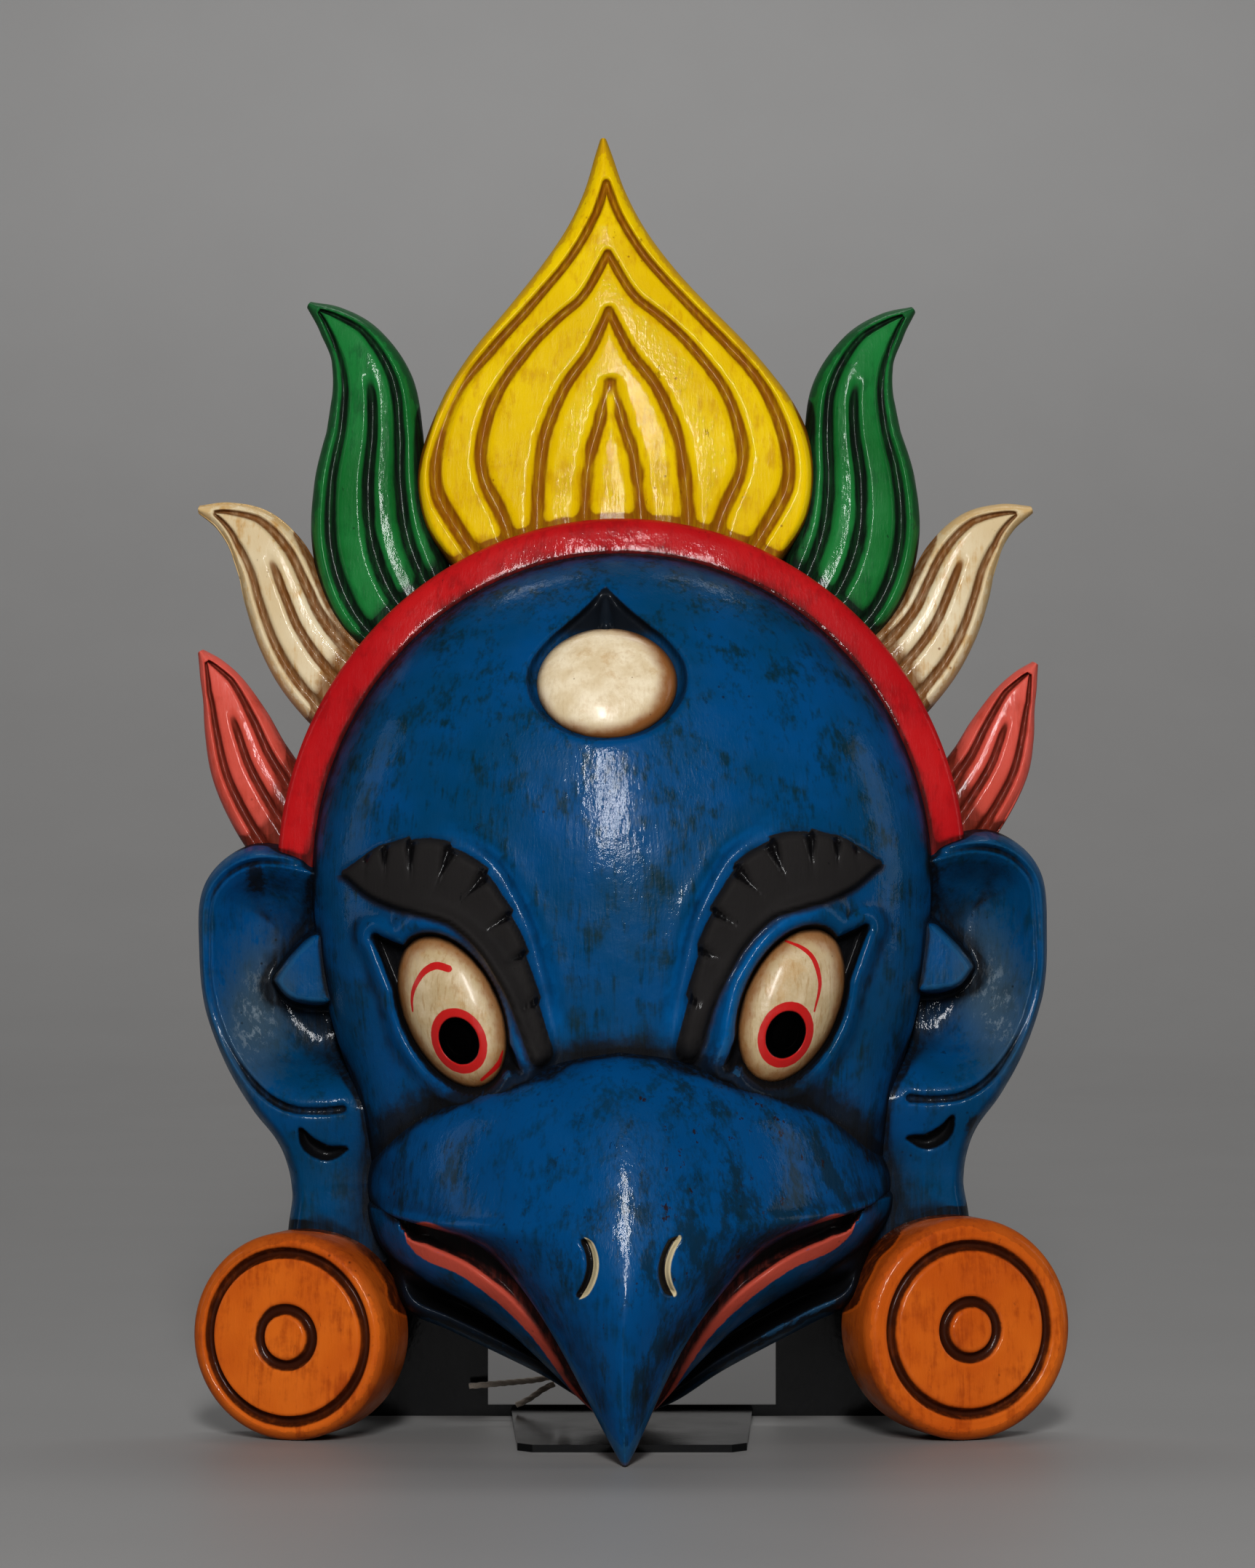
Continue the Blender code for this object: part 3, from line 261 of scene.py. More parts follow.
def signed_line(x, z, line):
    """Distance to a run of straight pieces, the share along it, and which side: 1 on its left."""
    shape = np.shape(x)
    p = np.stack([np.ravel(x), np.ravel(z)], 1)
    best = np.full(len(p), 1e9)
    along = np.zeros(len(p))
    side = np.ones(len(p))
    for i in range(len(line) - 1):
        a = line[i]
        ab = line[i + 1] - a
        t = np.clip((p - a) @ ab / max(ab @ ab, 1e-12), 0, 1)
        away = p - a - t[:, None] * ab
        far = np.hypot(*away.T)
        closer = far < best
        best[closer] = far[closer]
        along[closer] = (i + t[closer]) / (len(line) - 1)
        side[closer] = np.sign(ab[0] * away[closer, 1] - ab[1] * away[closer, 0])
    return best.reshape(shape), along.reshape(shape), side.reshape(shape)


def near_line(x, z, line):
    """Each place's distance to a run of straight pieces, and how far along it that is, 0 to 1."""
    return signed_line(x, z, line)[:2]


def radius_at(outline, centre, angle):
    """How far away an outline is from a centre inside it, in the direction of each angle."""
    around = np.arctan2(outline[:, 1] - centre[1], outline[:, 0] - centre[0])
    order = np.argsort(around)
    keys = np.concatenate([around[order] - 2 * math.pi, around[order], around[order] + 2 * math.pi])
    far = np.hypot(outline[:, 0] - centre[0], outline[:, 1] - centre[1])[order]
    return np.interp(angle, keys, np.tile(far, 3))


def ramp(value, low, high):
    """0 below low, 1 above high and smooth between them."""
    t = np.clip((value - low) / (high - low), 0, 1)
    return t * t * (3 - 2 * t)


def groove(far, width=GROOVE_WIDTH):
    """The section of a carved groove, 1 at its bottom and 0 past its width."""
    return (1 - np.clip(far / width, 0, 1) ** 2) ** 1.5


def to_world(x, z, d):
    """From the mask's own plane, in millimetres, to the world in metres."""
    x = x * HEAD_WIDTH / DRAWN_WIDTH
    wx = x * math.cos(SIDE_LEAN) - (z - LEAN_PIVOT_Z) * math.sin(SIDE_LEAN)
    wz = z * math.cos(SIDE_LEAN) + x * math.sin(SIDE_LEAN)
    back = -(UPRIGHT_HIGH - wz) * math.tan(TILT_BACK)
    wy = -(SHEET + GAP) + back - d
    return np.stack([wx, wy, wz], -1) * MM


def leaf_rings(middle, widths, back, front, tip_front, dome, relief, along=60, across=25):
    """Rings across a leaf. relief(x, z, t, s) is what is carved away from its front."""
    t = np.linspace(0, 1, along) ** 0.9
    line = spline(middle, 400)
    keys = np.linspace(0, 1, len(widths))
    c = np.stack([np.interp(t, np.linspace(0, 1, 400), line[:, k]) for k in range(2)], 1)
    tangent = np.gradient(c, t, axis=0)
    tangent /= np.linalg.norm(tangent, axis=1)[:, None]
    normal = np.stack([tangent[:, 1], -tangent[:, 0]], 1)
    w = np.maximum(smooth_keys(keys, widths, t), 0.35)
    s = np.sin(np.linspace(-1, 1, across) * math.pi / 2)
    top = np.linspace(front, tip_front, along)
    grow = ramp(t, 0.0, 1.0)
    low = back + (tip_front - back) * 0.35 * grow
    x = c[:, :1] + normal[:, :1] * w[:, None] * s
    z = c[:, 1:] + normal[:, 1:] * w[:, None] * s
    edge = (1 - np.abs(s)) * w[:, None]
    bevel = np.minimum(2.6, w[:, None])
    rise = np.sqrt(1 - (1 - np.clip(edge / bevel, 0, 1)) ** 2)
    waist = low + (top - low) * 0.45
    swell = dome * (1 - s**2) * np.clip(w / 8, 0, 1)[:, None]
    over = waist[:, None] + (top - waist)[:, None] * rise + swell - relief(x, z, t[:, None], s)
    under = waist[:, None] - (waist - low)[:, None] * np.clip(edge / 1.5, 0, 1) ** 0.5
    fronts = np.stack([x, z, over], -1)
    backs = np.stack([x, z, under], -1)[:, ::-1][:, 1:-1]
    return np.concatenate([fronts, backs], 1)


def leaf_relief(outer, inner, mid, apex):
    """Two grooves that meet in a point near the leaf's tip, and a short one between them."""

    def relief(x, z, t, s):
        close = np.sqrt(np.clip((apex - t) / 0.16, 0, 1))
        width = 0.16 + 0.05 * ramp(t, 0.5, 0.9)
        cut = groove(np.abs(s - outer * close), width)
        cut = np.maximum(cut, groove(np.abs(s - inner * close), width)) * (t < apex)
        middle = groove(np.abs(s - mid), width * 0.9) * ramp(apex * 0.72 - t, 0, 0.12)
        return np.maximum(cut, middle) * GROOVE_DEPTH

    return relief


def head_outline():
    """The egg of the head seen from the front: half an ellipse above, and a pointed chin."""
    half = DRAWN_WIDTH / 2
    turn = np.linspace(math.pi / 2, 0, 60, endpoint=False)
    above = np.stack([half * np.cos(turn), (HEAD_TOP - HEAD_CENTRE_Z) * np.sin(turn)], 1)
    above[:, 1] += HEAD_CENTRE_Z
    below = spline(HEAD_LOWER, 90) * (half, HEAD_CENTRE_Z - CHIN_Z) + (0, CHIN_Z)
    right = np.vstack([above, below])
    return np.vstack([right, (right * (-1, 1))[::-1][1:-1]])


def disc_grid(outline, centre, count):
    """A square grid of (x, z, reach) laid over the outline, with reach 0 at centre and 1 at it."""
    u, v = np.meshgrid(np.linspace(-1, 1, count), np.linspace(-1, 1, count), indexing="ij")
    px = u * np.sqrt(1 - v * v / 2)
    pz = v * np.sqrt(1 - u * u / 2)
    reach = np.sin(np.clip(np.hypot(px, pz), 0, 1) * math.pi / 2)
    angle = np.arctan2(pz, px)
    far = radius_at(outline, centre, angle) * reach
    return centre[0] + far * np.cos(angle), centre[1] + far * np.sin(angle), reach


def ellipse_reach(x, z, centre, long, short, tilt=0.0):
    """How far each place is from the centre of a tilted ellipse, as a share of its radius there."""
    a = (x - centre[0]) * math.sin(tilt) + (z - centre[1]) * math.cos(tilt)
    b = (x - centre[0]) * math.cos(tilt) - (z - centre[1]) * math.sin(tilt)
    return np.hypot(a / long, b / short)


def almond(x, z):
    """Distance outside the eye's opening, an almond round the ball with a corner at each end."""
    reach = ellipse_reach(x, z, EYE_CENTRE, EYE_LONG + 0.6, EYE_SHORT + 0.9, EYE_TILT)
    ball = (reach - 1) * (EYE_SHORT + 3)
    for corner in EYE_CORNERS:
        far, along = near_line(x, z, np.array([EYE_CENTRE, corner]))
        ball = np.minimum(ball, far - 0.5 - CORNER_TAPER * (1 - along))
    return ball


def teardrop(x, z):
    """Below 0 inside the third eye's recess, a round drop with a point at its top."""
    right = spline(TEARDROP, 60)[:, ::-1]
    outline = np.vstack([right, (right * (-1, 1))[::-1][1:]]) + (THIRD_EYE[0], 0)
    far, _ = near_line(x, z, outline)
    return -far * inside_of(x, z, outline)


def head_depth(reach):
    return HEAD_RIM_D + HEAD_RISE * np.sqrt(np.clip(1 - reach**2, 0, 1))


def muzzle_middle(z):
    """The middle line of the beak and jaw, which bends a little to one side on its way down."""
    return smooth_keys(*np.array(MUZZLE_BEND, float).T, z)


def soften(values, spread):
    """The run of values with its corners rounded and its ends kept."""
    half = max(int(spread * 3), 1)
    bell = np.exp(-0.5 * (np.arange(-half, half + 1) / spread) ** 2)
    before = 2 * values[0] - values[half:0:-1]
    after = 2 * values[-1] - values[-2 : -half - 2 : -1]
    return np.convolve(np.concatenate([before, values, after]), bell / bell.sum(), "valid")


def muzzle_rings(rows, back, power, shape, along, across):
    """Rings across the muzzle from rows of height, half width, ridge and edge depth."""
    rows = np.array(rows)
    t = np.arange(len(rows), dtype=float)
    at = np.linspace(0, len(rows) - 1, along)
    spread = ROW_SOFTNESS * along / len(rows)
    z, w, ridge, edge = (soften(np.interp(at, t, rows[:, k]), spread) for k in range(4))
    s = np.sin(np.linspace(-1, 1, across) * math.pi / 2)
    a = smooth_keys(t, power, at)[:, None]
    b = smooth_keys(t, shape, at)[:, None]
    front = edge[:, None] + (ridge - edge)[:, None] * (1 - np.abs(s) ** a) ** b
    inner = smooth_keys(t, back, at)[:, None]
    under = edge[:, None] + (inner - edge[:, None]) * (1 - s**2) ** 0.5
    x = w[:, None] * s + muzzle_middle(z)[:, None]
    zz = np.broadcast_to(z[:, None], x.shape)
    fronts = np.stack([x, zz, front], -1)
    backs = np.stack([x, zz, under], -1)[:, ::-1][:, 1:-1]
    return np.concatenate([fronts, backs], 1)


def ear_relief(x, z):
    """What is carved away from an ear's front: the bowl inside the rim, and the crescent below."""
    helix = spline(HELIX_LINE, 60)
    rim, _ = near_line(x, z, helix)
    within = rim * inside_of(x, z, np.vstack([helix, BOWL_BACK]))
    cut = EAR_BOWL_DEPTH * ramp(within, -0.4, 15.0) ** 0.6 * ramp(z, BOWL_LOW, BOWL_LOW + 13)
    cut = np.maximum(cut, 1.6 * groove(rim, 1.3))
    line = spline(TRAGUS, 50)
    far, _ = near_line(x, z, line)
    flap = ramp(inside_of(x, z, line) * far, -0.9, 1.4)
    cut = cut * (1 - flap) + 0.6 * flap
    crescent, along = near_line(x, z, spline(LOBE_CUT, 20))
    return np.maximum(cut, 2.2 * groove(crescent, 0.5 + 1.5 * (1 - (2 * along - 1) ** 2)))


def inside_of(x, z, outline):
    """1 inside a closed run of points and -1 outside it."""
    shape = np.shape(x)
    px = np.ravel(x)
    pz = np.ravel(z)
    odd = np.zeros(len(px), bool)
    for (ax, az), (bx, bz) in zip(outline, np.roll(outline, -1, 0)):
        crosses = (az > pz) != (bz > pz)
        if crosses.any():
            at = ax + (pz - az) / (bz - az if bz != az else 1e-9) * (bx - ax)
            odd ^= crosses & (px < at)
    return np.where(odd, 1.0, -1.0).reshape(shape)


def ear_grid(rows, columns):
    """Places (x, z) over an ear, row by row from the lobe's foot to the top, and its outline."""
    outline = spline(EAR_OUTLINE, 260, closed=True)
    top = int(outline[:, 1].argmax())
    turned = np.roll(outline, -top, 0)
    foot = int(turned[:, 1].argmin())
    outer = turned[: foot + 1][::-1]
    inner = np.vstack([turned[foot:], turned[:1]])
    share = np.sin(np.linspace(-1, 1, rows) * math.pi / 2) / 2 + 0.5
    z = outline[:, 1].min() + 0.05 + share * (np.ptp(outline[:, 1]) - 0.1)
    left = np.interp(z, np.maximum.accumulate(inner[:, 1]), inner[:, 0])
    right = np.interp(z, np.maximum.accumulate(outer[:, 1]), outer[:, 0])
    across = np.sin(np.linspace(-1, 1, columns) * math.pi / 2) / 2 + 0.5
    x = left[:, None] + (right - left)[:, None] * across
    return x, np.broadcast_to(z[:, None], x.shape), outline


def ear_skins(x, z, outline):
    """The depths of an ear's front and back."""
    edge, _ = near_line(x, z, np.vstack([outline, outline[:1]]))
    rise = np.sqrt(1 - (1 - np.clip(edge / EAR_ROUNDING, 0, 1)) ** 2)
    top = EAR_FRONT_D - EAR_FALL * ramp(x, 64.0, 90.0) - EAR_FALL * ramp(z, 70.0, 50.0)
    waist = EAR_BACK_D + 8.0
    front = waist + (top - waist) * rise - ear_relief(x, z) * rise
    back = waist - (waist - EAR_BACK_D) * np.clip(edge / 2.0, 0, 1) ** 0.5
    return front, np.minimum(back, front - 0.5)


def disc_profile(radius):
    """From the middle of the face out and round to the middle of the back: radius and depth."""
    half = DISC_THICK / 2
    face = np.linspace(0, radius - DISC_EDGE, 40)
    inner = groove(np.abs(face - DISC_BOSS_RING + 0.7), 1.4)
    dip = DISC_GROOVE * (inner + groove(np.abs(face - DISC_RING), 1.3))
    dome = half + 0.8 * (1 - (face / radius) ** 2) - 0.5 * (face > DISC_BOSS_RING)
    turn = np.linspace(0, math.pi, 14)[1:]
    side = []
    for a in turn:
        out = radius - DISC_EDGE + DISC_EDGE * math.sin(a)
        side.append((out, (half - DISC_EDGE) * np.sign(math.cos(a)) + DISC_EDGE * math.cos(a)))
    return [(r, d) for r, d in zip(face, dome - dip)] + side + [(0.0, -half)]


def string_y():
    """The string hangs midway between the upright and the back of the chin."""
    chin_back = to_world(0.0, KNOT[1], 0.0)[1] / MM
    return (chin_back - SHEET) / 2


def hole_place(side, share):
    """A place in a string hole, in world millimetres: share 0 at its mouth and 1 at its end."""
    wall = DRAWN_WIDTH / 2 - HOLLOW_WALL
    return to_world(side * (wall + HOLE_DEEP * share), HOLE_Z, HOLE_D) / MM


STAND_ROUNDING = 0.3
STAND_LOW, STAND_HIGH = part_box("stand")
SHIFT = np.array(((STAND_LOW[0] + STAND_HIGH[0]) / 2, STAND_HIGH[1], STAND_LOW[2]))

# The camera of the photograph, in the frame before it is centred over the base
CAMERA = (-0.0009, -1.100, 0.13065)
LENS = 121.95
SENSOR = 36.0

SEED = 7
SIDES = ((-1, "left"), (1, "right"))


# Forms are kept as points (x, z, d) with faces and per-point marks until all of them are known


class Form:
    """One carved form before it becomes an object."""

    def __init__(self, name, points, faces, marks):
        self.name = name
        self.points = points
        self.faces = faces
        self.marks = marks


def loft(rings, closed=False):
    """Points and faces through rings of points, with both ends capped unless they form a loop."""
    count, around = rings.shape[:2]
    i, j = np.meshgrid(np.arange(count if closed else count - 1), np.arange(around), indexing="ij")
    k = (j + 1) % around
    n = (i + 1) % count
    quads = np.stack([i * around + j, i * around + k, n * around + k, n * around + j], -1)
    faces = quads.reshape(-1, 4).tolist()
    points = rings.reshape(-1, 3)
    if not closed:
        points = np.vstack([points, rings[0].mean(0), rings[-1].mean(0)])
        for end, hub in ((0, count * around), (count - 1, count * around + 1)):
            first = end * around
            faces += [(first + a, first + (a + 1) % around, hub) for a in range(around)]
    return points, faces


def loft_form(name, rings, marks):
    """A closed form through rings of points, with its marks spread over them."""
    count, around = rings.shape[:2]
    points, faces = loft(rings)
    full = {}
    for word, values in marks.items():
        values = np.broadcast_to(values, (count, around))
        full[word] = np.concatenate([values.ravel(), [values[0].mean(), values[-1].mean()]])
    return Form(name, points, faces, full)


def grid_faces(rows, columns):
    """The faces of a grid of points, row by row."""
    i, j = np.meshgrid(np.arange(rows - 1), np.arange(columns - 1), indexing="ij")
    a = i * columns + j
    return np.stack([a, a + 1, a + columns + 1, a + columns], -1).reshape(-1, 4)


def rim_of(rows, columns):
    """The points round the edge of a grid, in order."""
    rim = list(range(columns))
    rim += [i * columns + columns - 1 for i in range(1, rows)]
    rim += [(rows - 1) * columns + j for j in range(columns - 2, -1, -1)]
    rim += [i * columns for i in range(rows - 2, 0, -1)]
    return np.array(rim)


def skin_form(name, x, z, front, back, marks):
    """A closed form from a grid: a front skin and a back skin with a wall between them."""
    size = x.size
    points = np.vstack([np.stack([x, z, d], -1).reshape(-1, 3) for d in (front, back)])
    quads = grid_faces(*x.shape)
    rim = rim_of(*x.shape)
    after = np.roll(rim, -1)
    wall = np.stack([after, rim, size + rim, size + after], -1)
    faces = np.vstack([quads, quads[:, ::-1] + size, wall]).tolist()
    full = {}
    for word, values in marks.items():
        values = np.broadcast_to(values, x.shape).ravel()
        full[word] = np.concatenate([values, values])
    full["behind"] = np.concatenate([np.zeros(size), np.ones(size)])
    return Form(name, points, faces, full)


# Height maps: soft hand-carved unevenness, and how deep each point lies below its surroundings


class Field:
    """Values on a square raster over the mask's plane, read between its cells."""

    step = 0.7
    low = np.array((-100.0, -12.0))
    shape = (286, 412)

    def __init__(self, values):
        self.values = values

    def at(self, x, z):
        u = np.clip((x - self.low[0]) / self.step, 0, self.shape[0] - 1.001)
        v = np.clip((z - self.low[1]) / self.step, 0, self.shape[1] - 1.001)
        i = u.astype(int)
        j = v.astype(int)
        a = u - i
        b = v - j
        g = self.values
        low = g[i, j] * (1 - b) + g[i, j + 1] * b
        high = g[i + 1, j] * (1 - b) + g[i + 1, j + 1] * b
        return low * (1 - a) + high * a

    def soft(self, spread):
        """The same field blurred with a bell curve of that spread, in millimetres."""
        fx = np.fft.fftfreq(self.shape[0], self.step)[:, None]
        fz = np.fft.rfftfreq(self.shape[1], self.step)[None]
        bell = np.exp(-2 * (math.pi * spread) ** 2 * (fx**2 + fz**2))
        return Field(np.fft.irfft2(np.fft.rfft2(self.values) * bell, self.shape))


def uneven(spread, seed):
    """A gentle random field of unit deviation."""
    made = Field(np.random.default_rng(SEED + seed).normal(size=Field.shape)).soft(spread)
    made.values /= made.values.std()
    return made


KNIFE = uneven(4.5, 1)
SWELL = uneven(14.0, 2)


def carved(x, z, amount=1.0):
    """The slight unevenness that the knife leaves."""
    return amount * (0.10 * KNIFE.at(x, z) + 0.28 * SWELL.at(x, z))


# The carved pieces


def yellow_carving(x, z, t, s):
    """The yellow petal's gouged lines, which widen towards the band."""
    cut = np.zeros(np.broadcast(x, s).shape)
    for line in YELLOW_GROOVES:
        far, _ = near_line(np.abs(x + 0.5), z, spline(line, 40))
        width = GROOVE_WIDTH * (0.95 + 0.8 * ramp(z, 245, 180))
        cut = np.maximum(cut, groove(far, width) * GROOVE_DEPTH)
    return cut


def petal_forms():
    """The seven flame petals of the crest."""
    made = []
    keys = [k for k, _ in YELLOW_WIDTHS]
    z = spline(YELLOW_LINE, 60)[:, 1]
    widths = smooth_keys(keys, [w for _, w in YELLOW_WIDTHS], z)
    rings = leaf_rings(YELLOW_LINE, widths, 1.0, 19.0, 9.0, 2.5, yellow_carving, 230, 130)
    made.append(petal_form("petal_yellow", rings, 130))
    for side, word in SIDES:
        for colour, (line, widths, back, front, tip, dome, lines, rise) in LEAVES.items():
            rings = leaf_rings(line, widths, back, front, tip, dome, leaf_relief(*lines), 150, 64)
            rings[..., 0] *= side
            rings[..., 1] -= side * rise * ramp(rings[..., 1], line[0][1], line[-1][1])
            made.append(petal_form(f"petal_{colour}_{word}", rings, 64))
    return made


def petal_form(name, rings, across):
    """One petal from rings with that many places across its front."""
    rings[..., 2] += carved(rings[..., 0], rings[..., 1]) * (rings[..., 2] > 7)
    behind = np.concatenate([np.zeros(across), np.ones(across - 2)])
    return loft_form(name, rings, {"behind": behind[None]})


def band_form(along=300):
    """A ribbon with a rounded front, bent over the head in half an ellipse."""
    out_x = DRAWN_WIDTH / 2 + BAND_PROUD
    out_z = HEAD_TOP - HEAD_CENTRE_Z + BAND_PROUD
    low = math.asin((BAND_ENDS_Z - HEAD_CENTRE_Z) / out_z)
    turn = np.linspace(low, math.pi - low, along)
    half = BAND_WIDTH / 2
    u = np.linspace(-1, 1, 31)
    front = BAND_FRONT_D - 1.7 * np.abs(u) ** 5 - 1.4 * (u + 1) / 2
    section = np.stack([u * half * (1 - 0.06 * np.abs(u) ** 6), front], 1)
    wall = np.linspace(0, 1, 6)[1:, None]
    outer = section[-1] + wall * (np.array((half, BAND_BACK_D)) - section[-1])
    inner = np.array((-half, BAND_BACK_D)) + (1 - wall[::-1]) * (section[0] - (-half, BAND_BACK_D))
    section = np.vstack([section, outer, inner])
    mid_x = out_x - half
    mid_z = out_z - half
    out = np.stack([np.cos(turn) / mid_x, np.sin(turn) / mid_z], 1)
    out /= np.linalg.norm(out, axis=1)[:, None]
    rings = np.zeros((along, len(section), 3))
    rings[..., 0] = (mid_x * np.cos(turn))[:, None] + out[:, :1] * section[:, 0]
    rings[..., 1] = HEAD_CENTRE_Z + (mid_z * np.sin(turn))[:, None] + out[:, 1:] * section[:, 0]
    rings[..., 2] = section[:, 1]
    rings[..., 2] += carved(rings[..., 0], rings[..., 1], 1.2) * (rings[..., 2] > 15)
    return loft_form("band", rings, {"inner": (-section[:, 0] / half)[None], "behind": 0.0})


# The middle between the eyes, in face coordinates
EYE_SHIFT = -0.5

# Where the brow's notches start on its upper edge and how far across it they reach
BROW_NOTCHES = (
    (0.09, 0.5), (0.17, 0.8), (0.27, 0.95), (0.37, 0.95), (0.47, 1.0), (0.61, 1.0), (0.75, 1.0),
    (0.9, 1.0),
)


def brow_carving(x, z):
    """The brow's rise with its overlapping locks, and how far inside its outline each place is."""
    line = spline(BROW_LINE, 60)
    far, along, side = signed_line(x, z, line)
    width = smooth_keys(np.linspace(0, 1, len(BROW_HALF_WIDTHS)), BROW_HALF_WIDTHS, along)
    upper = -side * far
    reach = (upper / width + 1) / 2
    starts = np.array([0.0] + [n[0] for n in BROW_NOTCHES] + [1.02])
    lock = np.clip(np.searchsorted(starts, along) - 1, 0, len(starts) - 2)
    through = np.clip((along - starts[lock]) / (starts[lock + 1] - starts[lock]), 0, 1)
    tooth = 0.9 * (1 - through) * ramp(reach, 0.5, 1.0) * ramp(along, 0.12, 0.3)
    inside = width - far - tooth
    rise = BROW_RISE * ramp(inside, -0.4, 1.2)
    length = spline(BROW_LINE, 400)
    length = np.hypot(*np.diff(length, axis=0).T).sum()
    cut = np.zeros(np.shape(along))
    for start, deep in BROW_NOTCHES:
        wide = 0.7 + 1.0 * ramp(reach, 0.55, 1.0)
        near = np.clip(1 - np.abs(along - start) * length / wide, 0, 1)
        cut = np.maximum(cut, 2.0 * near * ramp(reach, 1.02 - 0.8 * deep, 1.1 - 0.25 * deep))
    shingle = 0.9 * (0.5 - through) * ramp(reach, 0.2, 0.9)
    sunk = cut * ramp(inside, -0.3, 0.8)
    brim = 0.3 * np.exp(-(((width - far + 4.4) / 2.2) ** 2)) * (upper > 0)
    valley = -1.0 * np.exp(-(((width - far + 1.6) / 1.3) ** 2)) * (upper > 0)
    beside = (brim + valley) * ramp(along, 0.3, 0.5) * ramp(along, 1.0, 0.9)
    return rise - sunk + shingle * ramp(inside, 0, 1.2) + beside, inside, along, sunk, upper


def across_eye(x, z):
    """How far each place is past the eye's long axis, on its lower and outer side."""
    return (x - EYE_CENTRE[0]) * math.cos(EYE_TILT) - (z - EYE_CENTRE[1]) * math.sin(EYE_TILT)


def eye_carving(x, z):
    """The socket round an eyeball and the two lids, and the distance outside the opening."""
    out = almond(x, z)
    across = across_eye(x, z)
    upper = ramp(-across, -6.0, 4.0)
    width = 0.85 * (LID_WIDTH + upper)
    lid = LID_RISE * (0.8 + 0.5 * upper) * np.exp(-(((out - LID_WIDTH + 0.2) / width) ** 2))
    hollow = -SOCKET_DEPTH * ramp(-out, -0.25, 1.0)
    return hollow + lid * ramp(out, 9.0, 4.0) * ramp(out, -0.25, 0.5), out


def third_eye_carving(x, z):
    """The drop-shaped recess round the third eye, with a ridge in its point."""
    drop = teardrop(x, z)
    recess = -TEARDROP_DEPTH * ramp(-drop, -0.4, 1.4)
    ridge = 2.2 * np.exp(-(((x - THIRD_EYE[0]) / 1.5) ** 2))
    return recess + ridge * ramp(z, 159.5, 163.0) * ramp(-drop, 0, 1), drop


def bead_carving(x, z, reach):
    """The round bead along the jaw's rim and the hollow inside it."""
    low = ramp(z, 34.0, 27.0)
    in_from_rim = (1 - reach) * np.hypot(x, z - HEAD_CENTRE_Z)
    bead = 2.6 * np.sqrt(np.clip(1 - ((in_from_rim - 1.7) / 1.9) ** 2, 0, 1))
    dip = -9.0 * ramp(in_from_rim, 3.2, 5.5)
    return low * (bead + dip), in_from_rim


# Where the beak meets the face, from the left cheek over the middle to the right one
CREASE_LINE = (
    (-49.1, 62), (-40.4, 67.6), (-26.1, 71.6), (-11.0, 77), (-0.5, 78.4), (12.5, 75.8),
    (30.9, 70.5),
    (40.8, 66.7), (47.1, 60.9),
)


def head_form(count=289):
    """The egg of the head with its brows, eye sockets, third eye's recess and jaw's bead."""
    x, z, reach = disc_grid(head_outline(), (0, HEAD_CENTRE_Z), count)
    side = np.abs(x - FACE_SHIFT)
    eye_side = np.abs(x - EYE_SHIFT)
    brow, inside, along, sunk, upper = brow_carving(side, z)
    lids, out = eye_carving(eye_side, z)
    third, drop = third_eye_carving(x, z)
    bead, rim = bead_carving(x, z, reach)
    front = head_depth(reach) + brow + lids + third + bead + carved(x, z) * ramp(reach, 1.0, 0.9)
    points = np.stack([x, z, front], -1).reshape(-1, 3)
    size = len(points)
    around = rim_of(count, count)
    low = points[around] * (1, 1, 0)
    after = np.roll(np.arange(len(around)), -1)
    wall = np.stack([around[after], around, size + np.arange(len(around)), size + after], -1)
    faces = np.vstack([grid_faces(count, count), wall]).tolist()
    crease, _, above = signed_line(x, z, spline(CREASE_LINE, 80))
    # the strips beside the brows' upper edges and the upper lid rolls, marked for painted light
    ridge = ramp(inside, -4.6, -3.4) * ramp(inside, 0.4, -0.6)
    ridge = ridge * (upper > 0) * ramp(along, 0.3, 0.45)
    ridge = ridge * ramp(along, 1.0, 0.94)
    roll = ramp(-across_eye(eye_side, z), 0.0, 4.0) * ramp(out, 6.0, 3.5)
    marks = {
        "brow": inside,
        "lid": out,
        "drop": drop,
        "rim": rim,
        # the crease above the beak's root, where painted shade lies
        "crease": crease * above,
        "bright": np.maximum(ridge, roll),
        "notch": sunk,
        # the edge just below each brow, where painted shade lies
        "under": inside - 3.0 * (upper > 0),
        "behind": x * 0,
    }
    full = {}
    for word, values in marks.items():
        values = values.ravel()
        full[word] = np.concatenate([values, values[around]])
    return Form("head", np.vstack([points, low]), faces, full)


# The middle of the hollow behind the head, and the power of its section's curve
HOLLOW_CENTRE = (0, HEAD_CENTRE_Z - 14.0)
HOLLOW_POWER = 2.6


def back_form(around=220, deep=40):
    """The flat rim of the back and the hollow inside it."""
    centre = HOLLOW_CENTRE
    turn = np.linspace(-math.pi, math.pi, around, endpoint=False)
    radius = radius_at(head_outline(), centre, turn)
    rings = []
    steps = [(1.0, 0.0, 0.0), (1.0, -1.0, 0.0), (1.0, -HOLLOW_WALL + 0.8, 0.0)]
    steps += [(math.cos(a), -HOLLOW_WALL, 1) for a in np.linspace(0, math.pi / 2, deep)]
    for share, inset, dome in steps:
        r = (radius + inset) * share
        d = dome * (0.6 + HOLLOW_DEPTH * math.sqrt(max(1 - share**HOLLOW_POWER, 0)))
        x = centre[0] + r * np.cos(turn)
        z = centre[1] + r * np.sin(turn)
        rings.append(np.stack([x, z, turn * 0 + d], 1))
    rings = np.array(rings)
    chisel = 0.5 * KNIFE.at(rings[..., 0], rings[..., 1])
    rings[4:, :, 2] += chisel[4:]
    form = loft_form("back", rings, {"behind": np.ones((len(rings), around))})
    form.faces = [f for f in form.faces if len(f) == 4 or f[2] == len(form.points) - 1]
    return form


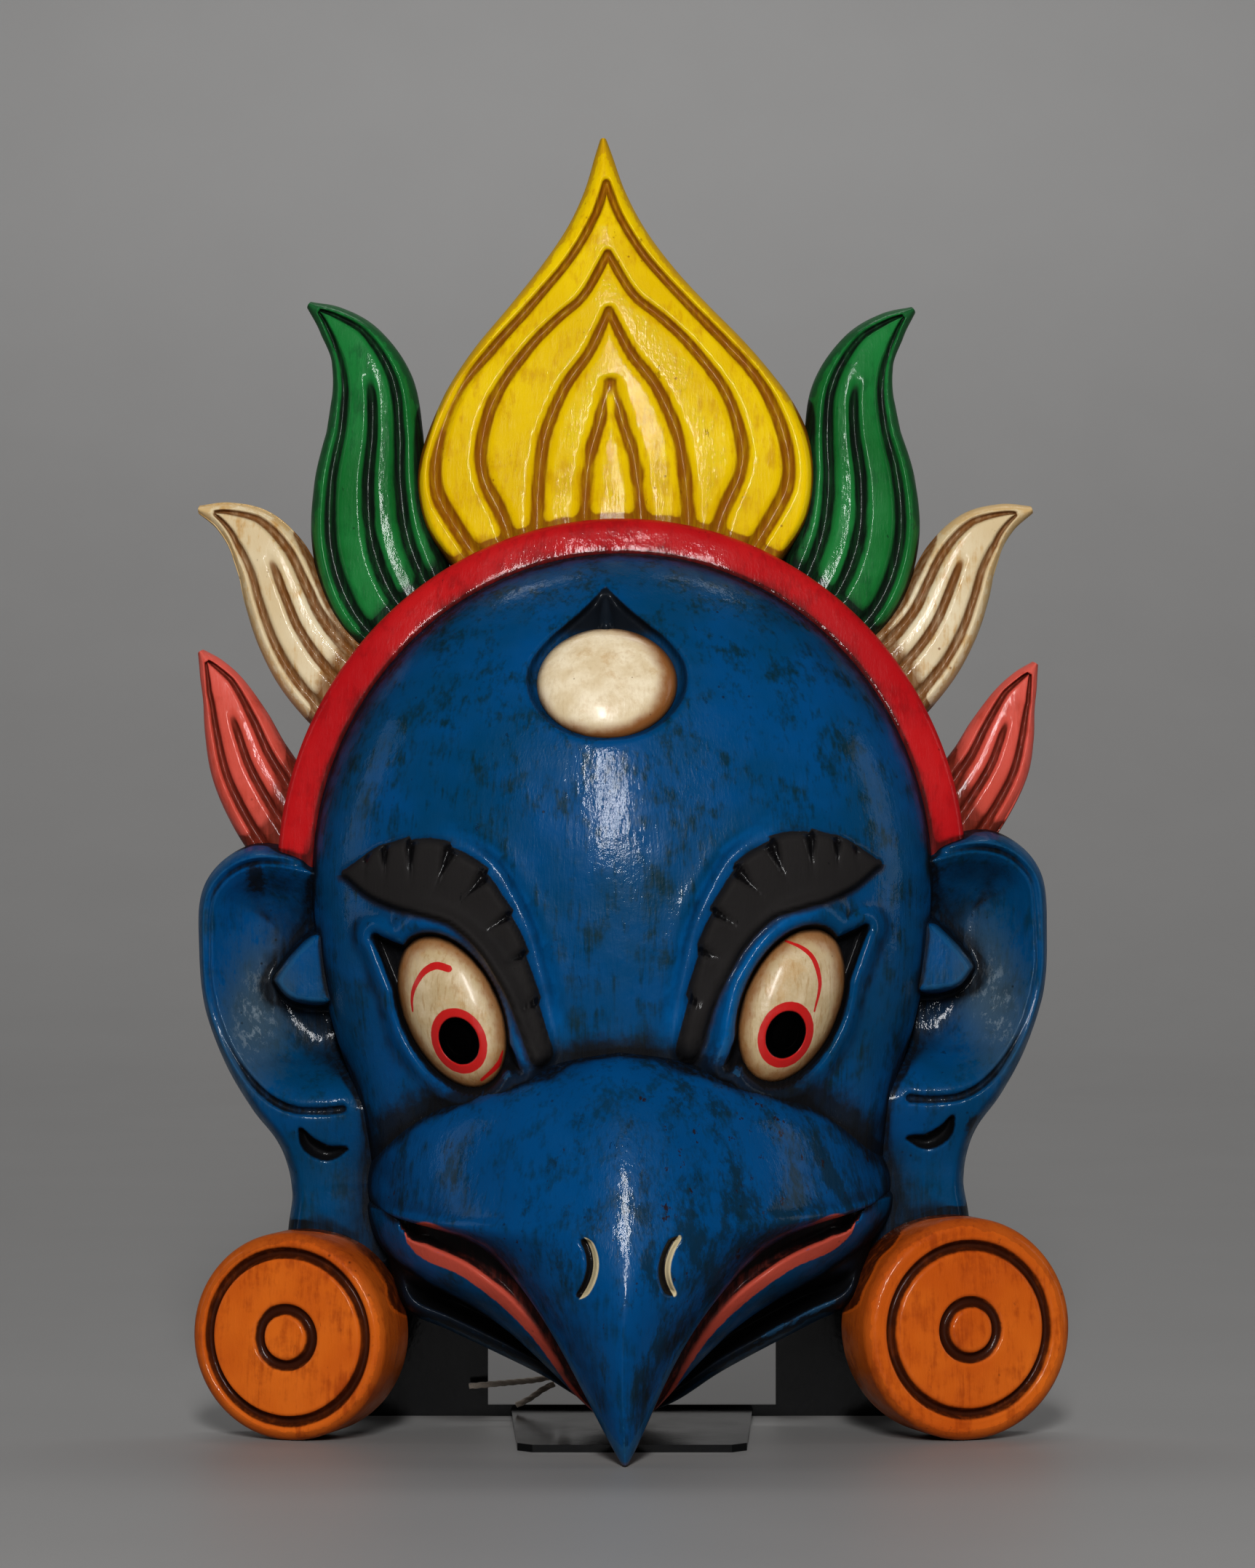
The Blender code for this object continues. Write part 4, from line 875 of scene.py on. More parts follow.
def hollow_clear(rings):
    """Keeps a muzzle's back inside the wood in front of the hollow."""
    x = rings[..., 0] - HOLLOW_CENTRE[0]
    z = rings[..., 1] - HOLLOW_CENTRE[1]
    radius = radius_at(head_outline(), HOLLOW_CENTRE, np.arctan2(z, x)) - HOLLOW_WALL
    reach = np.hypot(x, z) / radius
    deep = HOLLOW_DEPTH * np.sqrt(np.clip(1 - np.clip(reach, 0, 1) ** HOLLOW_POWER, 0, 1)) + 3.0
    rings[..., 2] = np.where(reach < 1.02, np.maximum(rings[..., 2], deep), rings[..., 2])
    return rings


def fewer_behind(rings, across, keep=4):
    """The same rings with fewer points on their hidden side."""
    return np.concatenate([rings[:, :across], rings[:, across::keep]], 1)


def beak_form(along=300, across=180):
    """The upper beak, with the slots of its nostrils."""
    rows = np.array(BEAK_ROWS)
    hook = ramp(44.0 - rows[:, 0], 0, 24.0)
    power = 1.75 - 0.4 * hook
    shape = 0.62 + 0.14 * hook
    back = rows[:, 3] - BEAK_UNDER - BEAK_ROOT * ramp(rows[:, 0], 22.0, 46.0)
    rings = fewer_behind(muzzle_rings(BEAK_ROWS, back, power, shape, along, across), across)
    x = rings[..., 0]
    z = rings[..., 1]
    bow = NOSTRIL_X - 1.7 * (1 - ((z - NOSTRIL_Z) / 5.2) ** 2)
    middle = muzzle_middle(z)
    beside = (np.abs(x - middle) - bow) * np.sign(x - middle)
    past = np.maximum(np.abs(z - NOSTRIL_Z) - 4.6, 0)
    slot = np.hypot(beside, past)
    front = (np.arange(rings.shape[1]) < across)[None]
    rings[..., 2] -= 2.2 * groove(slot, 1.25) * front
    rings[..., 2] += carved(x, z, 1.2) * front
    rings = hollow_clear(rings)
    t = np.linspace(0, 1, along)[:, None]
    lip_edge, lip_share = near_line(np.abs(x - middle), z, spline(MOUTH_LINE, 60))
    marks = {"slot": slot, "beside": beside, "tip": t, "behind": ~front * 1.0}
    marks.update(lip_edge=lip_edge, lip_share=lip_share)
    return loft_form("beak", rings, marks)


# The mouth from its corner down to the beak's tip, and the lower edge of its painted lip, as
# distances from the muzzle's middle line and heights
MOUTH_LINE = (
    (43.5, 42.9), (40.4, 44.6), (36.2, 43.5), (29.7, 40.5), (24.4, 36.6), (19.8, 32.4),
    (15.4, 26.7),
    (11.7, 21.1), (7.7, 13.3), (5.0, 8.8),
)
LIP_LINE = (
    (44.5, 42.3), (43.4, 40.2), (40.1, 37.6), (33.0, 35.0), (26.4, 30.6), (20.0, 24.9),
    (16.0, 20.2),
    (12.0, 14.2), (9.2, 9.2), (6.2, 3.5),
)


def jaw_form(along=170, across=170):
    """The lower jaw, with the open mouth's inside and its lip."""
    power = np.full(len(JAW_ROWS), 3.0)
    shape = np.full(len(JAW_ROWS), 0.56)
    back = np.full(len(JAW_ROWS), 12.0)
    rings = fewer_behind(muzzle_rings(JAW_ROWS, back, power, shape, along, across), across)
    x = rings[..., 0]
    z = rings[..., 1]
    front = (np.arange(rings.shape[1]) < across)[None]
    aside = np.abs(x - muzzle_middle(z))
    slit, share, _ = signed_line(aside, z, spline(MOUTH_LINE, 60))
    under, _, side = signed_line(aside, z, spline(LIP_LINE, 60))
    below = slit / np.maximum(slit + under, 0.01)
    open_part = ramp(share, 0.85, 0.15)
    rings[..., 2] -= 4.5 * ramp(below, 0.64, 0.36) * open_part * (side < 0) * front
    sink = ramp(z, 46.5, 50.0)
    rings[..., 2] -= 2.5 * sink * front
    rings[..., 0] -= 1.6 * sink * np.sign(x) * ramp(np.abs(x), 30, 44)
    rings[..., 2] += carved(x, z) * front
    rings = hollow_clear(rings)
    coral = np.minimum(-under * side, 45.6 - z)
    dark = np.where(side < 0, below, 9.0) + 0.9 * (1 - open_part)
    marks = {"slit": slit, "lip": coral, "below": dark, "behind": ~front * 1.0}
    return loft_form("jaw", rings, marks)


def eyeball_forms():
    """The two eyeballs with their sunk pupils."""
    made = []
    for side, word in SIDES:
        r = np.concatenate([np.linspace(0.004, 0.9, 60), np.linspace(0.91, 1.0, 16)])
        turn = np.linspace(0, 2 * math.pi, 160, endpoint=False)
        a = BALL_LONG * r[:, None] * np.cos(turn)
        b = BALL_SHORT * r[:, None] * np.sin(turn)
        x = EYE_CENTRE[0] + a * math.sin(EYE_TILT) + b * math.cos(EYE_TILT)
        z = EYE_CENTRE[1] + a * math.cos(EYE_TILT) - b * math.sin(EYE_TILT)
        reach = np.broadcast_to(r[:, None], x.shape)
        base = base_depth(x * side + EYE_SHIFT, z) - SOCKET_DEPTH
        front = base + BALL_RISE * np.sqrt(np.clip(1 - reach**2, 0, 1))
        iris = ellipse_reach(x, z, IRIS_CENTRE, PUPIL[0], PUPIL[1], EYE_TILT)
        front -= PUPIL_DEEP * ramp(1.04 - iris, 0, 0.42)
        arcs = np.full(x.shape, 9.0)
        for line, widths in EYE_ARCS[side]:
            far, along = near_line(x, z, spline(line, 40))
            arcs = np.minimum(arcs, far - np.interp(along, np.linspace(0, 1, len(widths)), widths))
        rings = np.stack([x * side + EYE_SHIFT, z, front], -1)
        made.append(skirted_form(f"eye_{word}", rings, {"iris": iris, "ball": reach, "arc": arcs}))
    return made


def skirted_form(name, rings, marks):
    """A shallow dome from rings, with a skirt that goes down into the wood under it."""
    skirt = rings[-1:].copy()
    skirt[..., 2] -= SKIRT
    full = {word: np.concatenate([values, values[-1:]]) for word, values in marks.items()}
    return loft_form(name, np.concatenate([rings, skirt]), {**full, "behind": 0.0})


# How far the eyes' skirts go down into the wood
SKIRT = 2.5

# The painted ball's and the pupil's half height and half width, and how deep the pupil is
BALL_LONG = EYE_LONG + 0.1
BALL_SHORT = EYE_SHORT + 0.35
PUPIL = (4.9, 3.9)
PUPIL_DEEP = 4.2

# Each eye's red arcs, with their half widths
EYE_ARCS = {
    -1: (
        (
            ((33.9, 95.0), (36.4, 95.6), (38.9, 94.3), (40.8, 91.4), (41.4, 88.9), (41.3, 86.4)),
            (0.7, 0.75, 0.5, 0.3, 0.15),
        ),
        (((23.5, 78.8), (24.6, 75.9), (27.8, 73.0)), (0.1, 0.5, 0.3)),
    ),
    1: (
        (
            ((32.4, 99.2), (35.6, 97.8), (37.8, 95.7), (38.9, 92.5), (39.0, 89.6), (37.9, 85.2)),
            (0.2, 0.4, 0.45, 0.35, 0.15),
        ),
    ),
}


def base_depth(x, z):
    """The head's plain dome at any place inside it."""
    radius = radius_at(head_outline(), (0, HEAD_CENTRE_Z), np.arctan2(z - HEAD_CENTRE_Z, x))
    return head_depth(np.hypot(x, z - HEAD_CENTRE_Z) / radius)


# How far the third eye stands out of the forehead
THIRD_EYE_PROUD = 1.6


def third_eye_form():
    """The flat dome of the third eye."""
    r = np.concatenate([np.linspace(0.004, 0.88, 50), np.linspace(0.89, 1.0, 20)])
    turn = np.linspace(0, 2 * math.pi, 180, endpoint=False)
    x = THIRD_EYE[0] + THIRD_EYE_LONG * r[:, None] * np.cos(turn)
    z = THIRD_EYE[1] + THIRD_EYE_HIGH * r[:, None] * np.sin(turn)
    reach = np.broadcast_to(r[:, None], x.shape)
    dome = (TEARDROP_DEPTH + THIRD_EYE_PROUD) * np.clip(1 - reach**3.4, 0, 1) ** 0.5
    front = base_depth(x, z) - TEARDROP_DEPTH + dome + carved(x, z)
    return skirted_form("third_eye", np.stack([x, z, front], -1), {"ball": reach})


# The middle of the painted reflection in each ear's bowl, and a dark chip on each ear
BOWL_CENTRE = (74.5, 86.0)
EAR_CHIP = {-1: (74.0, 113.0), 1: (70.0, 60.0)}


def ear_forms(rows=230, columns=130):
    """The ears, with marks for the painted reflection in their bowls, the cuts in their lobes and a
    chip on each.
    """
    made = []
    for side, word in SIDES:
        x, z, outline = ear_grid(rows, columns)
        front, back = ear_skins(x, z, outline)
        front = np.maximum(front + carved(x * side, z, 1.3), back + 0.3)
        crescent, along = near_line(x, z, spline(LOBE_CUT, 20))
        aside = x - BOWL_CENTRE[0]
        above = z - BOWL_CENTRE[1] + 0.5 * aside
        bowl = np.exp(-((aside / 7.5) ** 2) - (above / 15.0) ** 2)
        marks = {
            "crescent": crescent - 1.2 * (1 - (2 * along - 1) ** 2),
            "bowl": bowl,
            "chip": np.hypot(x - EAR_CHIP[side][0], (z - EAR_CHIP[side][1]) / 1.6) - 1.6,
        }
        made.append(skin_form(f"ear_{word}", x * side, z, front, back, marks))
    return made


def disc_forms(steps=150):
    """The turned ear discs."""
    made = []
    for side, word in SIDES:
        radius = DISC_RADIUS[side]
        profile = np.array(disc_profile(radius))
        turn = np.linspace(0, 2 * math.pi, steps, endpoint=False)
        r = np.maximum(profile[:, :1], 0.01)
        d = profile[:, 1:] + 0 * turn
        a = r * np.cos(turn)
        out = a * math.cos(DISC_TURN) + d * math.sin(DISC_TURN)
        deep = d * math.cos(DISC_TURN) - a * math.sin(DISC_TURN)
        x = DISC_X[side]
        z = radius / math.cos(SIDE_LEAN) - x * math.tan(SIDE_LEAN)
        rings = np.stack([x + out * side, z + r * np.sin(turn), DISC_MIDDLE_D + deep], -1)
        behind = (d < -DISC_THICK / 2 + 0.5) * 1.0
        marks = {"across": r + 0 * turn, "face": (d > 0) * 1.0, "behind": behind}
        made.append(loft_form(f"disc_{word}", rings, marks))
    return made


def build_forms():
    """Every carved form, marked with how deep each point lies below its surroundings."""
    forms = [*petal_forms(), band_form(), head_form(), back_form(), beak_form(), jaw_form()]
    forms += [*eyeball_forms(), third_eye_form(), *ear_forms(), *disc_forms()]
    heights = np.zeros(Field.shape)
    for form in forms:
        if form.name == "back":
            continue
        cell = ((form.points[:, :2] - Field.low) / Field.step + 0.5).astype(int)
        keep = np.all((cell >= 0) & (cell < Field.shape), 1)
        np.maximum.at(heights, tuple(cell[keep].T), form.points[keep, 2])
    closed = heights
    for choose in (np.maximum, np.maximum, np.minimum, np.minimum):
        for axis in (0, 1):
            closed = choose(closed, choose(np.roll(closed, 1, axis), np.roll(closed, -1, axis)))
    field = Field(np.where(heights > 0, np.maximum(heights, closed), closed))
    reaches = {"dip_small": 0.9, "dip_middle": 3.0, "dip_large": 8.0}
    softened = {word: field.soft(reach) for word, reach in reaches.items()}
    for form in forms:
        x, z, d = form.points.T
        for word, soft in softened.items():
            form.marks[word] = soft.at(x, z) - d
    return forms


def linked(name, data):
    """An object in the scene."""
    made = bpy.data.objects.new(name, data)
    bpy.context.scene.collection.objects.link(made)
    return made


def smooth_object(name, points, faces, marks=None):
    """A smooth object with its faces turned outward and its marks as attributes."""
    mesh = bpy.data.meshes.new(name)
    mesh.from_pydata(points.tolist(), [], faces)
    for word, values in (marks or {}).items():
        layer = mesh.attributes.new(word, "FLOAT", "POINT")
        layer.data.foreach_set("value", np.asarray(values, np.float32))
    work = bmesh.new()
    work.from_mesh(mesh)
    bmesh.ops.recalc_face_normals(work, faces=work.faces)
    work.to_mesh(mesh)
    work.free()
    mesh.polygons.foreach_set("use_smooth", np.ones(len(mesh.polygons), bool))
    return linked(name, mesh)


def make(form):
    """The object of a form, in the row frame and inside the solids' box."""
    x, z, d = form.points.T
    low, high = CAD_BOX
    points = np.clip(to_world(x, z, d) + SHIFT, low, high)
    return smooth_object(form.name, points, form.faces, form.marks)


# Materials


class Graph:
    """The shader nodes of one material."""

    def __init__(self, name):
        self.material = bpy.data.materials.new(name)
        self.material.use_nodes = True
        self.tree = self.material.node_tree
        self.shader = self.tree.nodes["Principled BSDF"]
        self.place = self.add("ShaderNodeTexCoord").outputs["Object"]

    def add(self, kind, sockets=(), **settings):
        made = self.tree.nodes.new(kind)
        for word, value in settings.items():
            setattr(made, word, value)
        for word, value in dict(sockets).items():
            self.set(made.inputs[word], value)
        return made

    def set(self, socket, value):
        if isinstance(value, bpy.types.NodeSocket):
            self.tree.links.new(value, socket)
        elif isinstance(value, tuple) and len(value) == 3 and socket.type == "RGBA":
            socket.default_value = (*value, 1)
        else:
            socket.default_value = value

    def math(self, kind, a, b):
        return self.add("ShaderNodeMath", {0: a, 1: b}, operation=kind).outputs[0]

    def times(self, a, b):
        return self.math("MULTIPLY", a, b)

    def plus(self, a, b):
        return self.math("ADD", a, b)

    def minus(self, a, b):
        return self.math("SUBTRACT", a, b)

    def most(self, a, b):
        return self.math("MAXIMUM", a, b)

    def ramp(self, value, low, high, start=0.0, end=1.0):
        made = self.add("ShaderNodeMapRange", {0: value, 1: low, 2: high, 3: start, 4: end})
        made.interpolation_type = "SMOOTHSTEP"
        return made.outputs[0]

    def mix(self, share, a, b):
        made = self.add("ShaderNodeMix", data_type="RGBA", blend_type="MIX", clamp_factor=True)
        self.set(made.inputs[0], share)
        self.set(made.inputs[6], a)
        self.set(made.inputs[7], b)
        return made.outputs[2]

    def mark(self, word):
        node = self.add("ShaderNodeAttribute", attribute_name=word, attribute_type="GEOMETRY")
        return node.outputs["Fac"]

    def along(self, axis):
        """The place along X (0), Y (1) or Z (2), in metres."""
        return self.add("ShaderNodeSeparateXYZ", {0: self.place}).outputs[axis]

    def shaken(self, value, noise, amount):
        """A value moved up and down by a noise."""
        return self.plus(value, self.times(self.minus(noise, 0.5), amount))

    def scaled(self, size, stretch, offset):
        """Places counted in features about that many millimetres across."""
        sockets = {
            "Vector": self.place,
            "Scale": tuple(s / (size * MM) for s in stretch),
            "Location": (offset, offset, offset),
        }
        return self.add("ShaderNodeMapping", sockets).outputs[0]

    def noise(self, size, detail=2.0, rough=0.5, stretch=(1, 1, 1), offset=0.0):
        """Noise with features about that many millimetres across, around 0.5."""
        place = self.scaled(size, stretch, offset)
        sockets = {"Vector": place, "Scale": 1.0, "Detail": detail, "Roughness": rough}
        return self.add("ShaderNodeTexNoise", sockets).outputs[0]

    def specks(self, size, offset, outer, inner):
        """1 in small round specks strewn that many millimetres apart."""
        place = self.scaled(size, (1, 1, 1), offset)
        made = self.add("ShaderNodeTexVoronoi", {"Vector": place, "Scale": 1.0})
        return self.ramp(made.outputs["Distance"], outer, inner)

    def bump(self, height, distance, normal=None):
        sockets = {"Height": height, "Distance": distance * MM, "Strength": 1.0}
        made = self.add("ShaderNodeBump", sockets)
        if normal is not None:
            self.set(made.inputs["Normal"], normal)
        return made.outputs[0]


def painted(name, colours, streak, chips=1.0, coat=0.15, zones=None, spare=None, matte=None):
    """Gloss paint brushed over carved wood, darkened in its hollows by dirt and by painted shade, and
    worn on its edges.

    The colours are the paint's own, a lighter and a darker one, that of its dirt and painted shade,
    and the worn edges'. The streaks run up and down the carving. zones adds areas of other paint
    and of painted light and shade, spare says where less dirt and painted shade lies, and matte where
    the paint is flat.
    """
    base, light, dark, stain_and_shade, worn = colours
    g = Graph(name)
    broad = g.noise(26, 3, 0.6)
    patch = g.noise(7, 4, 0.65, offset=3.7)
    brush = g.noise(1.1, 3, 0.6, stretch=(1, 1, 0.09), offset=1.3)
    fine = g.noise(0.45, 2, 0.5, stretch=(1, 1, 0.25), offset=8.1)
    colour = g.mix(g.ramp(broad, 0.35, 0.7), base, light)
    streaks = g.ramp(g.plus(g.times(patch, 0.6), g.times(brush, 0.4)), 0.48, 0.66)
    colour = g.mix(g.times(streaks, streak), colour, dark)
    if zones:
        for share, paint in zones(g):
            colour = g.mix(share, colour, paint)
    # dirt and old varnish in the hollows, with painted shade there too, darker the further a point
    # lies below its surroundings
    near = g.ramp(g.shaken(g.mark("dip_small"), patch, 0.5), 0.12, 0.75)
    middle = g.ramp(g.shaken(g.mark("dip_middle"), patch, 2.2), 0.5, 3.0)
    wide = g.ramp(g.shaken(g.mark("dip_large"), patch, 5.0), 1.5, 9.0)
    dirt_and_shade = g.most(g.times(near, 0.95), g.most(g.times(middle, 0.85), g.times(wide, 0.8)))
    dirt_and_shade = g.times(dirt_and_shade, g.ramp(brush, 0.25, 0.6, 0.75, 1.0))
    if spare:
        dirt_and_shade = g.times(dirt_and_shade, spare(g))
    colour = g.mix(dirt_and_shade, colour, stain_and_shade)
    # small dark specks and rubbed places
    dot = g.specks(2.6, 5.0, 0.16, 0.05)
    rare = g.ramp(g.noise(9, 2, 0.5, offset=11.0), 0.56, 0.68)
    colour = g.mix(g.times(g.times(dot, rare), 0.75), colour, stain_and_shade)
    scuff = g.ramp(g.noise(2.4, 5, 0.75, stretch=(1, 1, 0.35), offset=21.0), 0.66, 0.71)
    colour = g.mix(g.times(scuff, 0.55 * chips), colour, stain_and_shade)
    crest = g.shaken(g.times(g.mark("dip_small"), -1.0), g.noise(1.6, 4, 0.7, offset=31.0), 1.1)
    crest = g.ramp(crest, 0.42, 0.6)
    if matte:
        crest = g.times(crest, g.ramp(g.mark("brow"), -0.4, -1.0))
    colour = g.mix(g.times(crest, 0.6 * chips), colour, worn)
    # the plain back
    grain = g.noise(1.6, 4, 0.6, stretch=(1, 1, 0.07), offset=41.0)
    wood = g.mix(g.ramp(grain, 0.35, 0.68), (0.075, 0.036, 0.018), (0.17, 0.09, 0.045))
    behind = g.ramp(g.shaken(g.mark("behind"), patch, 0.3), 0.42, 0.5)
    colour = g.mix(behind, colour, wood)
    g.set(g.shader.inputs["Base Color"], colour)
    rough = g.ramp(g.noise(4.0, 4, 0.6, offset=51.0), 0.3, 0.75, 0.28, 0.52)
    rough = g.plus(rough, g.times(dirt_and_shade, 0.12))
    dull = behind
    if matte:
        dull = g.most(dull, matte(g))
    rough = g.most(rough, g.times(dull, 0.66))
    g.set(g.shader.inputs["Roughness"], rough)
    coat = g.times(coat, g.ramp(g.noise(11.0, 3, 0.6, offset=58.0), 0.3, 0.6, 0.55, 1.1))
    g.set(g.shader.inputs["Coat Weight"], g.times(coat, g.minus(1.0, dull)))
    g.shader.inputs["Specular IOR Level"].default_value = 0.06
    g.shader.inputs["Coat Roughness"].default_value = 0.06
    wrinkle = g.noise(1.7, 3, 0.6, offset=61.0)
    facet = g.noise(6.5, 1, 0.4, offset=71.0)
    normal = g.bump(facet, 0.20)
    normal = g.bump(wrinkle, 0.06, normal=normal)
    normal = g.bump(g.plus(brush, g.times(fine, 0.6)), 0.07, normal=normal)
    normal = g.bump(g.times(scuff, -1.0), 0.06, normal=normal)
    g.set(g.shader.inputs["Normal"], normal)
    g.set(g.shader.inputs["Coat Normal"], g.bump(g.plus(wrinkle, g.times(brush, 0.5)), 0.075))
    return g.material


BLUE = (0.0008, 0.056, 0.135)
BLUE_LIGHT = (0.001, 0.072, 0.205)
BLUE_DARK = (0.005, 0.026, 0.030)
BLUE_WORN = (0.02, 0.10, 0.20)
BEAK_BLUE = (0.0006, 0.062, 0.175)
BLACK = (0.007, 0.007, 0.008)
CORAL = (0.47, 0.085, 0.055)
RED = (0.50, 0.016, 0.014)


def wander(g, word, size=1.6, amount=0.5):
    """A mark with its edge made a little uneven, as a brush leaves it."""
    return g.shaken(g.mark(word), g.noise(size, 3, 0.6, offset=81.0), amount)


def head_zones(g):
    """The brows, the eye sockets, the third eye's recess and the dark by the jaw, with painted light
    on the upper lid rolls and beside the brows, and painted shade below the brows, in their notches
    and in the crease above the beak's root.
    """
    hair = g.ramp(wander(g, "brow", 1.4, 0.4), -0.3, 0.0)
    # painted shade: dark brown just below each brow's lower edge, where the raised brow shades the
    # face
    brown = g.times(g.ramp(wander(g, "under", 3.0, 1.6), -1.6, -0.2), 0.75)
    # painted shade: a deeper black in the cuts of the brows' notches
    notch = g.times(g.ramp(wander(g, "notch", 1.0, 0.3), 0.5, 1.1), 0.9)
    # painted light: a lighter blue where the upper lid rolls and the strips beside the brows catch
    # the lamp
    bright = g.ramp(g.noise(4.0, 3, 0.6, offset=17.0), 0.3, 0.55, 0.45, 1.0)
    bright = g.times(g.mark("bright"), bright)
    socket = g.ramp(wander(g, "lid", 1.2, 0.4), 0.25, -0.15)
    drop = g.ramp(wander(g, "drop", 1.4, 0.5), 0.1, -0.35)
    tip = g.ramp(g.along(2), 0.1585, 0.1625)
    # painted shade: near-black in the crease above the beak's root
    root = g.shaken(g.mark("crease"), g.noise(5.0, 4, 0.65, offset=91.0), 9.0)
    root = g.times(g.ramp(root, 5.5, 0.5), 0.9)
    under = g.times(g.ramp(wander(g, "rim", 2.0, 0.8), 3.0, 4.4), g.ramp(g.along(2), 0.036, 0.028))
    return [
        (bright, (0.001, 0.095, 0.26)),
        (brown, (0.030, 0.016, 0.012)),
        (hair, (0.023, 0.021, 0.0205)),
        (notch, (0.004, 0.0035, 0.004)),
        (socket, (0.010, 0.010, 0.012)),
        (g.times(drop, g.ramp(tip, 0.0, 1.0, 0.12, 1.0)), (0.010, 0.014, 0.020)),
        (under, (0.008, 0.009, 0.012)),
        (root, (0.010, 0.010, 0.011)),
    ]


def brow_spare(g):
    """Less dirt and painted shade just outside the brows and near the third eye's recess."""
    clean = g.ramp(g.mark("brow"), -5.0, -2.6, 1.0, 0.3)
    return g.times(clean, g.ramp(g.mark("drop"), 3.5, 1.5, 1.0, 0.45))


def brow_matte(g):
    """The brows' charcoal, which is flat but for its notches."""
    return g.times(g.ramp(g.mark("brow"), -0.2, 0.2), g.ramp(g.mark("notch"), 0.5, 0.1))


def nostril_rim(g):
    """The cream crescent on one side of each nostril."""
    return g.times(g.ramp(g.mark("slot"), 1.5, 1.2), g.ramp(g.mark("beside"), 0.1, 0.4))


def beak_spare(g):
    """Little dirt or painted shade over the nostrils' cream crescents."""
    return g.ramp(nostril_rim(g), 0.2, 1.0, 1.0, 0.1)


def beak_zones(g):
    """The beak's mottling, its spots, the mouth's coral edge, the nostrils and the worn tip."""
    slot = g.ramp(g.mark("slot"), 1.15, 0.85)
    end = g.ramp(g.shaken(g.mark("tip"), g.noise(2, 3, 0.6), 0.02), 0.985, 0.995)
    right = g.ramp(g.along(0), -0.004, 0.012)
    low = g.ramp(g.along(2), 0.066, 0.040)
    mottle = g.noise(6.0, 6, 0.75, stretch=(1, 1, 0.45), offset=14.0)
    mottle = g.plus(mottle, g.plus(g.times(right, 0.07), g.times(low, 0.05)))
    spot = g.noise(3.2, 5, 0.7, stretch=(1, 1, 0.7), offset=33.0)
    spot = g.ramp(g.plus(spot, g.times(right, 0.045)), 0.665, 0.70)
    rim = g.times(g.ramp(g.mark("lip_edge"), 1.3, 0.8), g.ramp(g.mark("lip_share"), 0.3, 0.12))
    return [
        (g.times(g.ramp(mottle, 0.56, 0.70), 0.75), (0.006, 0.022, 0.028)),
        (g.times(spot, 0.9), (0.022, 0.010, 0.009)),
        (rim, CORAL),
        (slot, (0.02, 0.009, 0.005)),
        (nostril_rim(g), (0.62, 0.52, 0.33)),
        (end, (0.12, 0.03, 0.025)),
    ]


def band_zones(g):
    """Painted shade along the band's inner bevel, where it turns in to meet the head."""
    # painted shade: dark red on the inner bevel
    return [(g.ramp(wander(g, "inner", 2.0, 0.5), 0.60, 0.95), (0.10, 0.006, 0.008))]


def band_matte(g):
    """The rubbed, flat paint of the band's inner bevel."""
    return g.ramp(g.mark("inner"), 0.5, 0.85)


def disc_zones(g):
    """The dark brown lines rubbed into the discs' turned grooves."""
    far = wander(g, "across", 2.8, 1.3)
    boss = g.ramp(far, DISC_BOSS_RING - 1.9, DISC_BOSS_RING - 1.3)
    boss = g.times(boss, g.ramp(far, DISC_BOSS_RING + 0.6, DISC_BOSS_RING))
    ring = g.ramp(far, DISC_RING - 1.1, DISC_RING - 0.4)
    ring = g.times(ring, g.ramp(far, DISC_RING + 1.0, DISC_RING + 0.3))
    gone = g.ramp(g.noise(13.0, 3, 0.6, offset=27.0), 0.36, 0.50, 0.35, 0.9)
    return [(g.times(g.most(boss, g.times(ring, gone)), g.mark("face")), (0.035, 0.010, 0.004))]


def ear_zones(g):
    """A grey, crinkled painted reflection with glints in the ears' bowls, and the black cut in their
    lobes.
    """
    # painted reflection: the lamp's grey crinkled reflection and its glints in each bowl
    crinkle = g.noise(1.8, 6, 0.8, stretch=(1, 1, 0.5), offset=44.0)
    bowl = g.ramp(g.plus(crinkle, g.times(g.mark("bowl"), 0.40)), 0.47, 0.66)
    bowl = g.times(g.mark("bowl"), bowl)
    glint = g.times(g.ramp(g.mark("bowl"), 0.55, 0.95), g.ramp(crinkle, 0.50, 0.60))
    chip = g.ramp(wander(g, "chip", 1.2, 3.0), 0.6, -0.4)
    return [
        (g.times(bowl, 0.9), (0.062, 0.098, 0.130)),
        (g.times(glint, 0.55), (0.24, 0.29, 0.33)),
        (g.times(chip, 0.85), (0.012, 0.012, 0.013)),
        (g.ramp(wander(g, "crescent", 1.0, 0.4), 0.9, 0.3), (0.006, 0.006, 0.007)),
    ]


def jaw_zones(g):
    """The coral lip and the dark inside of the mouth."""
    lip = g.ramp(wander(g, "lip", 1.5, 0.5), -0.1, 0.2)
    deep = g.ramp(wander(g, "below", 1.2, 0.12), 0.62, 0.48)
    deep = g.most(deep, g.ramp(wander(g, "slit", 1.2, 0.3), 0.8, 0.3))
    return [(lip, CORAL), (deep, (0.05, 0.012, 0.010))]


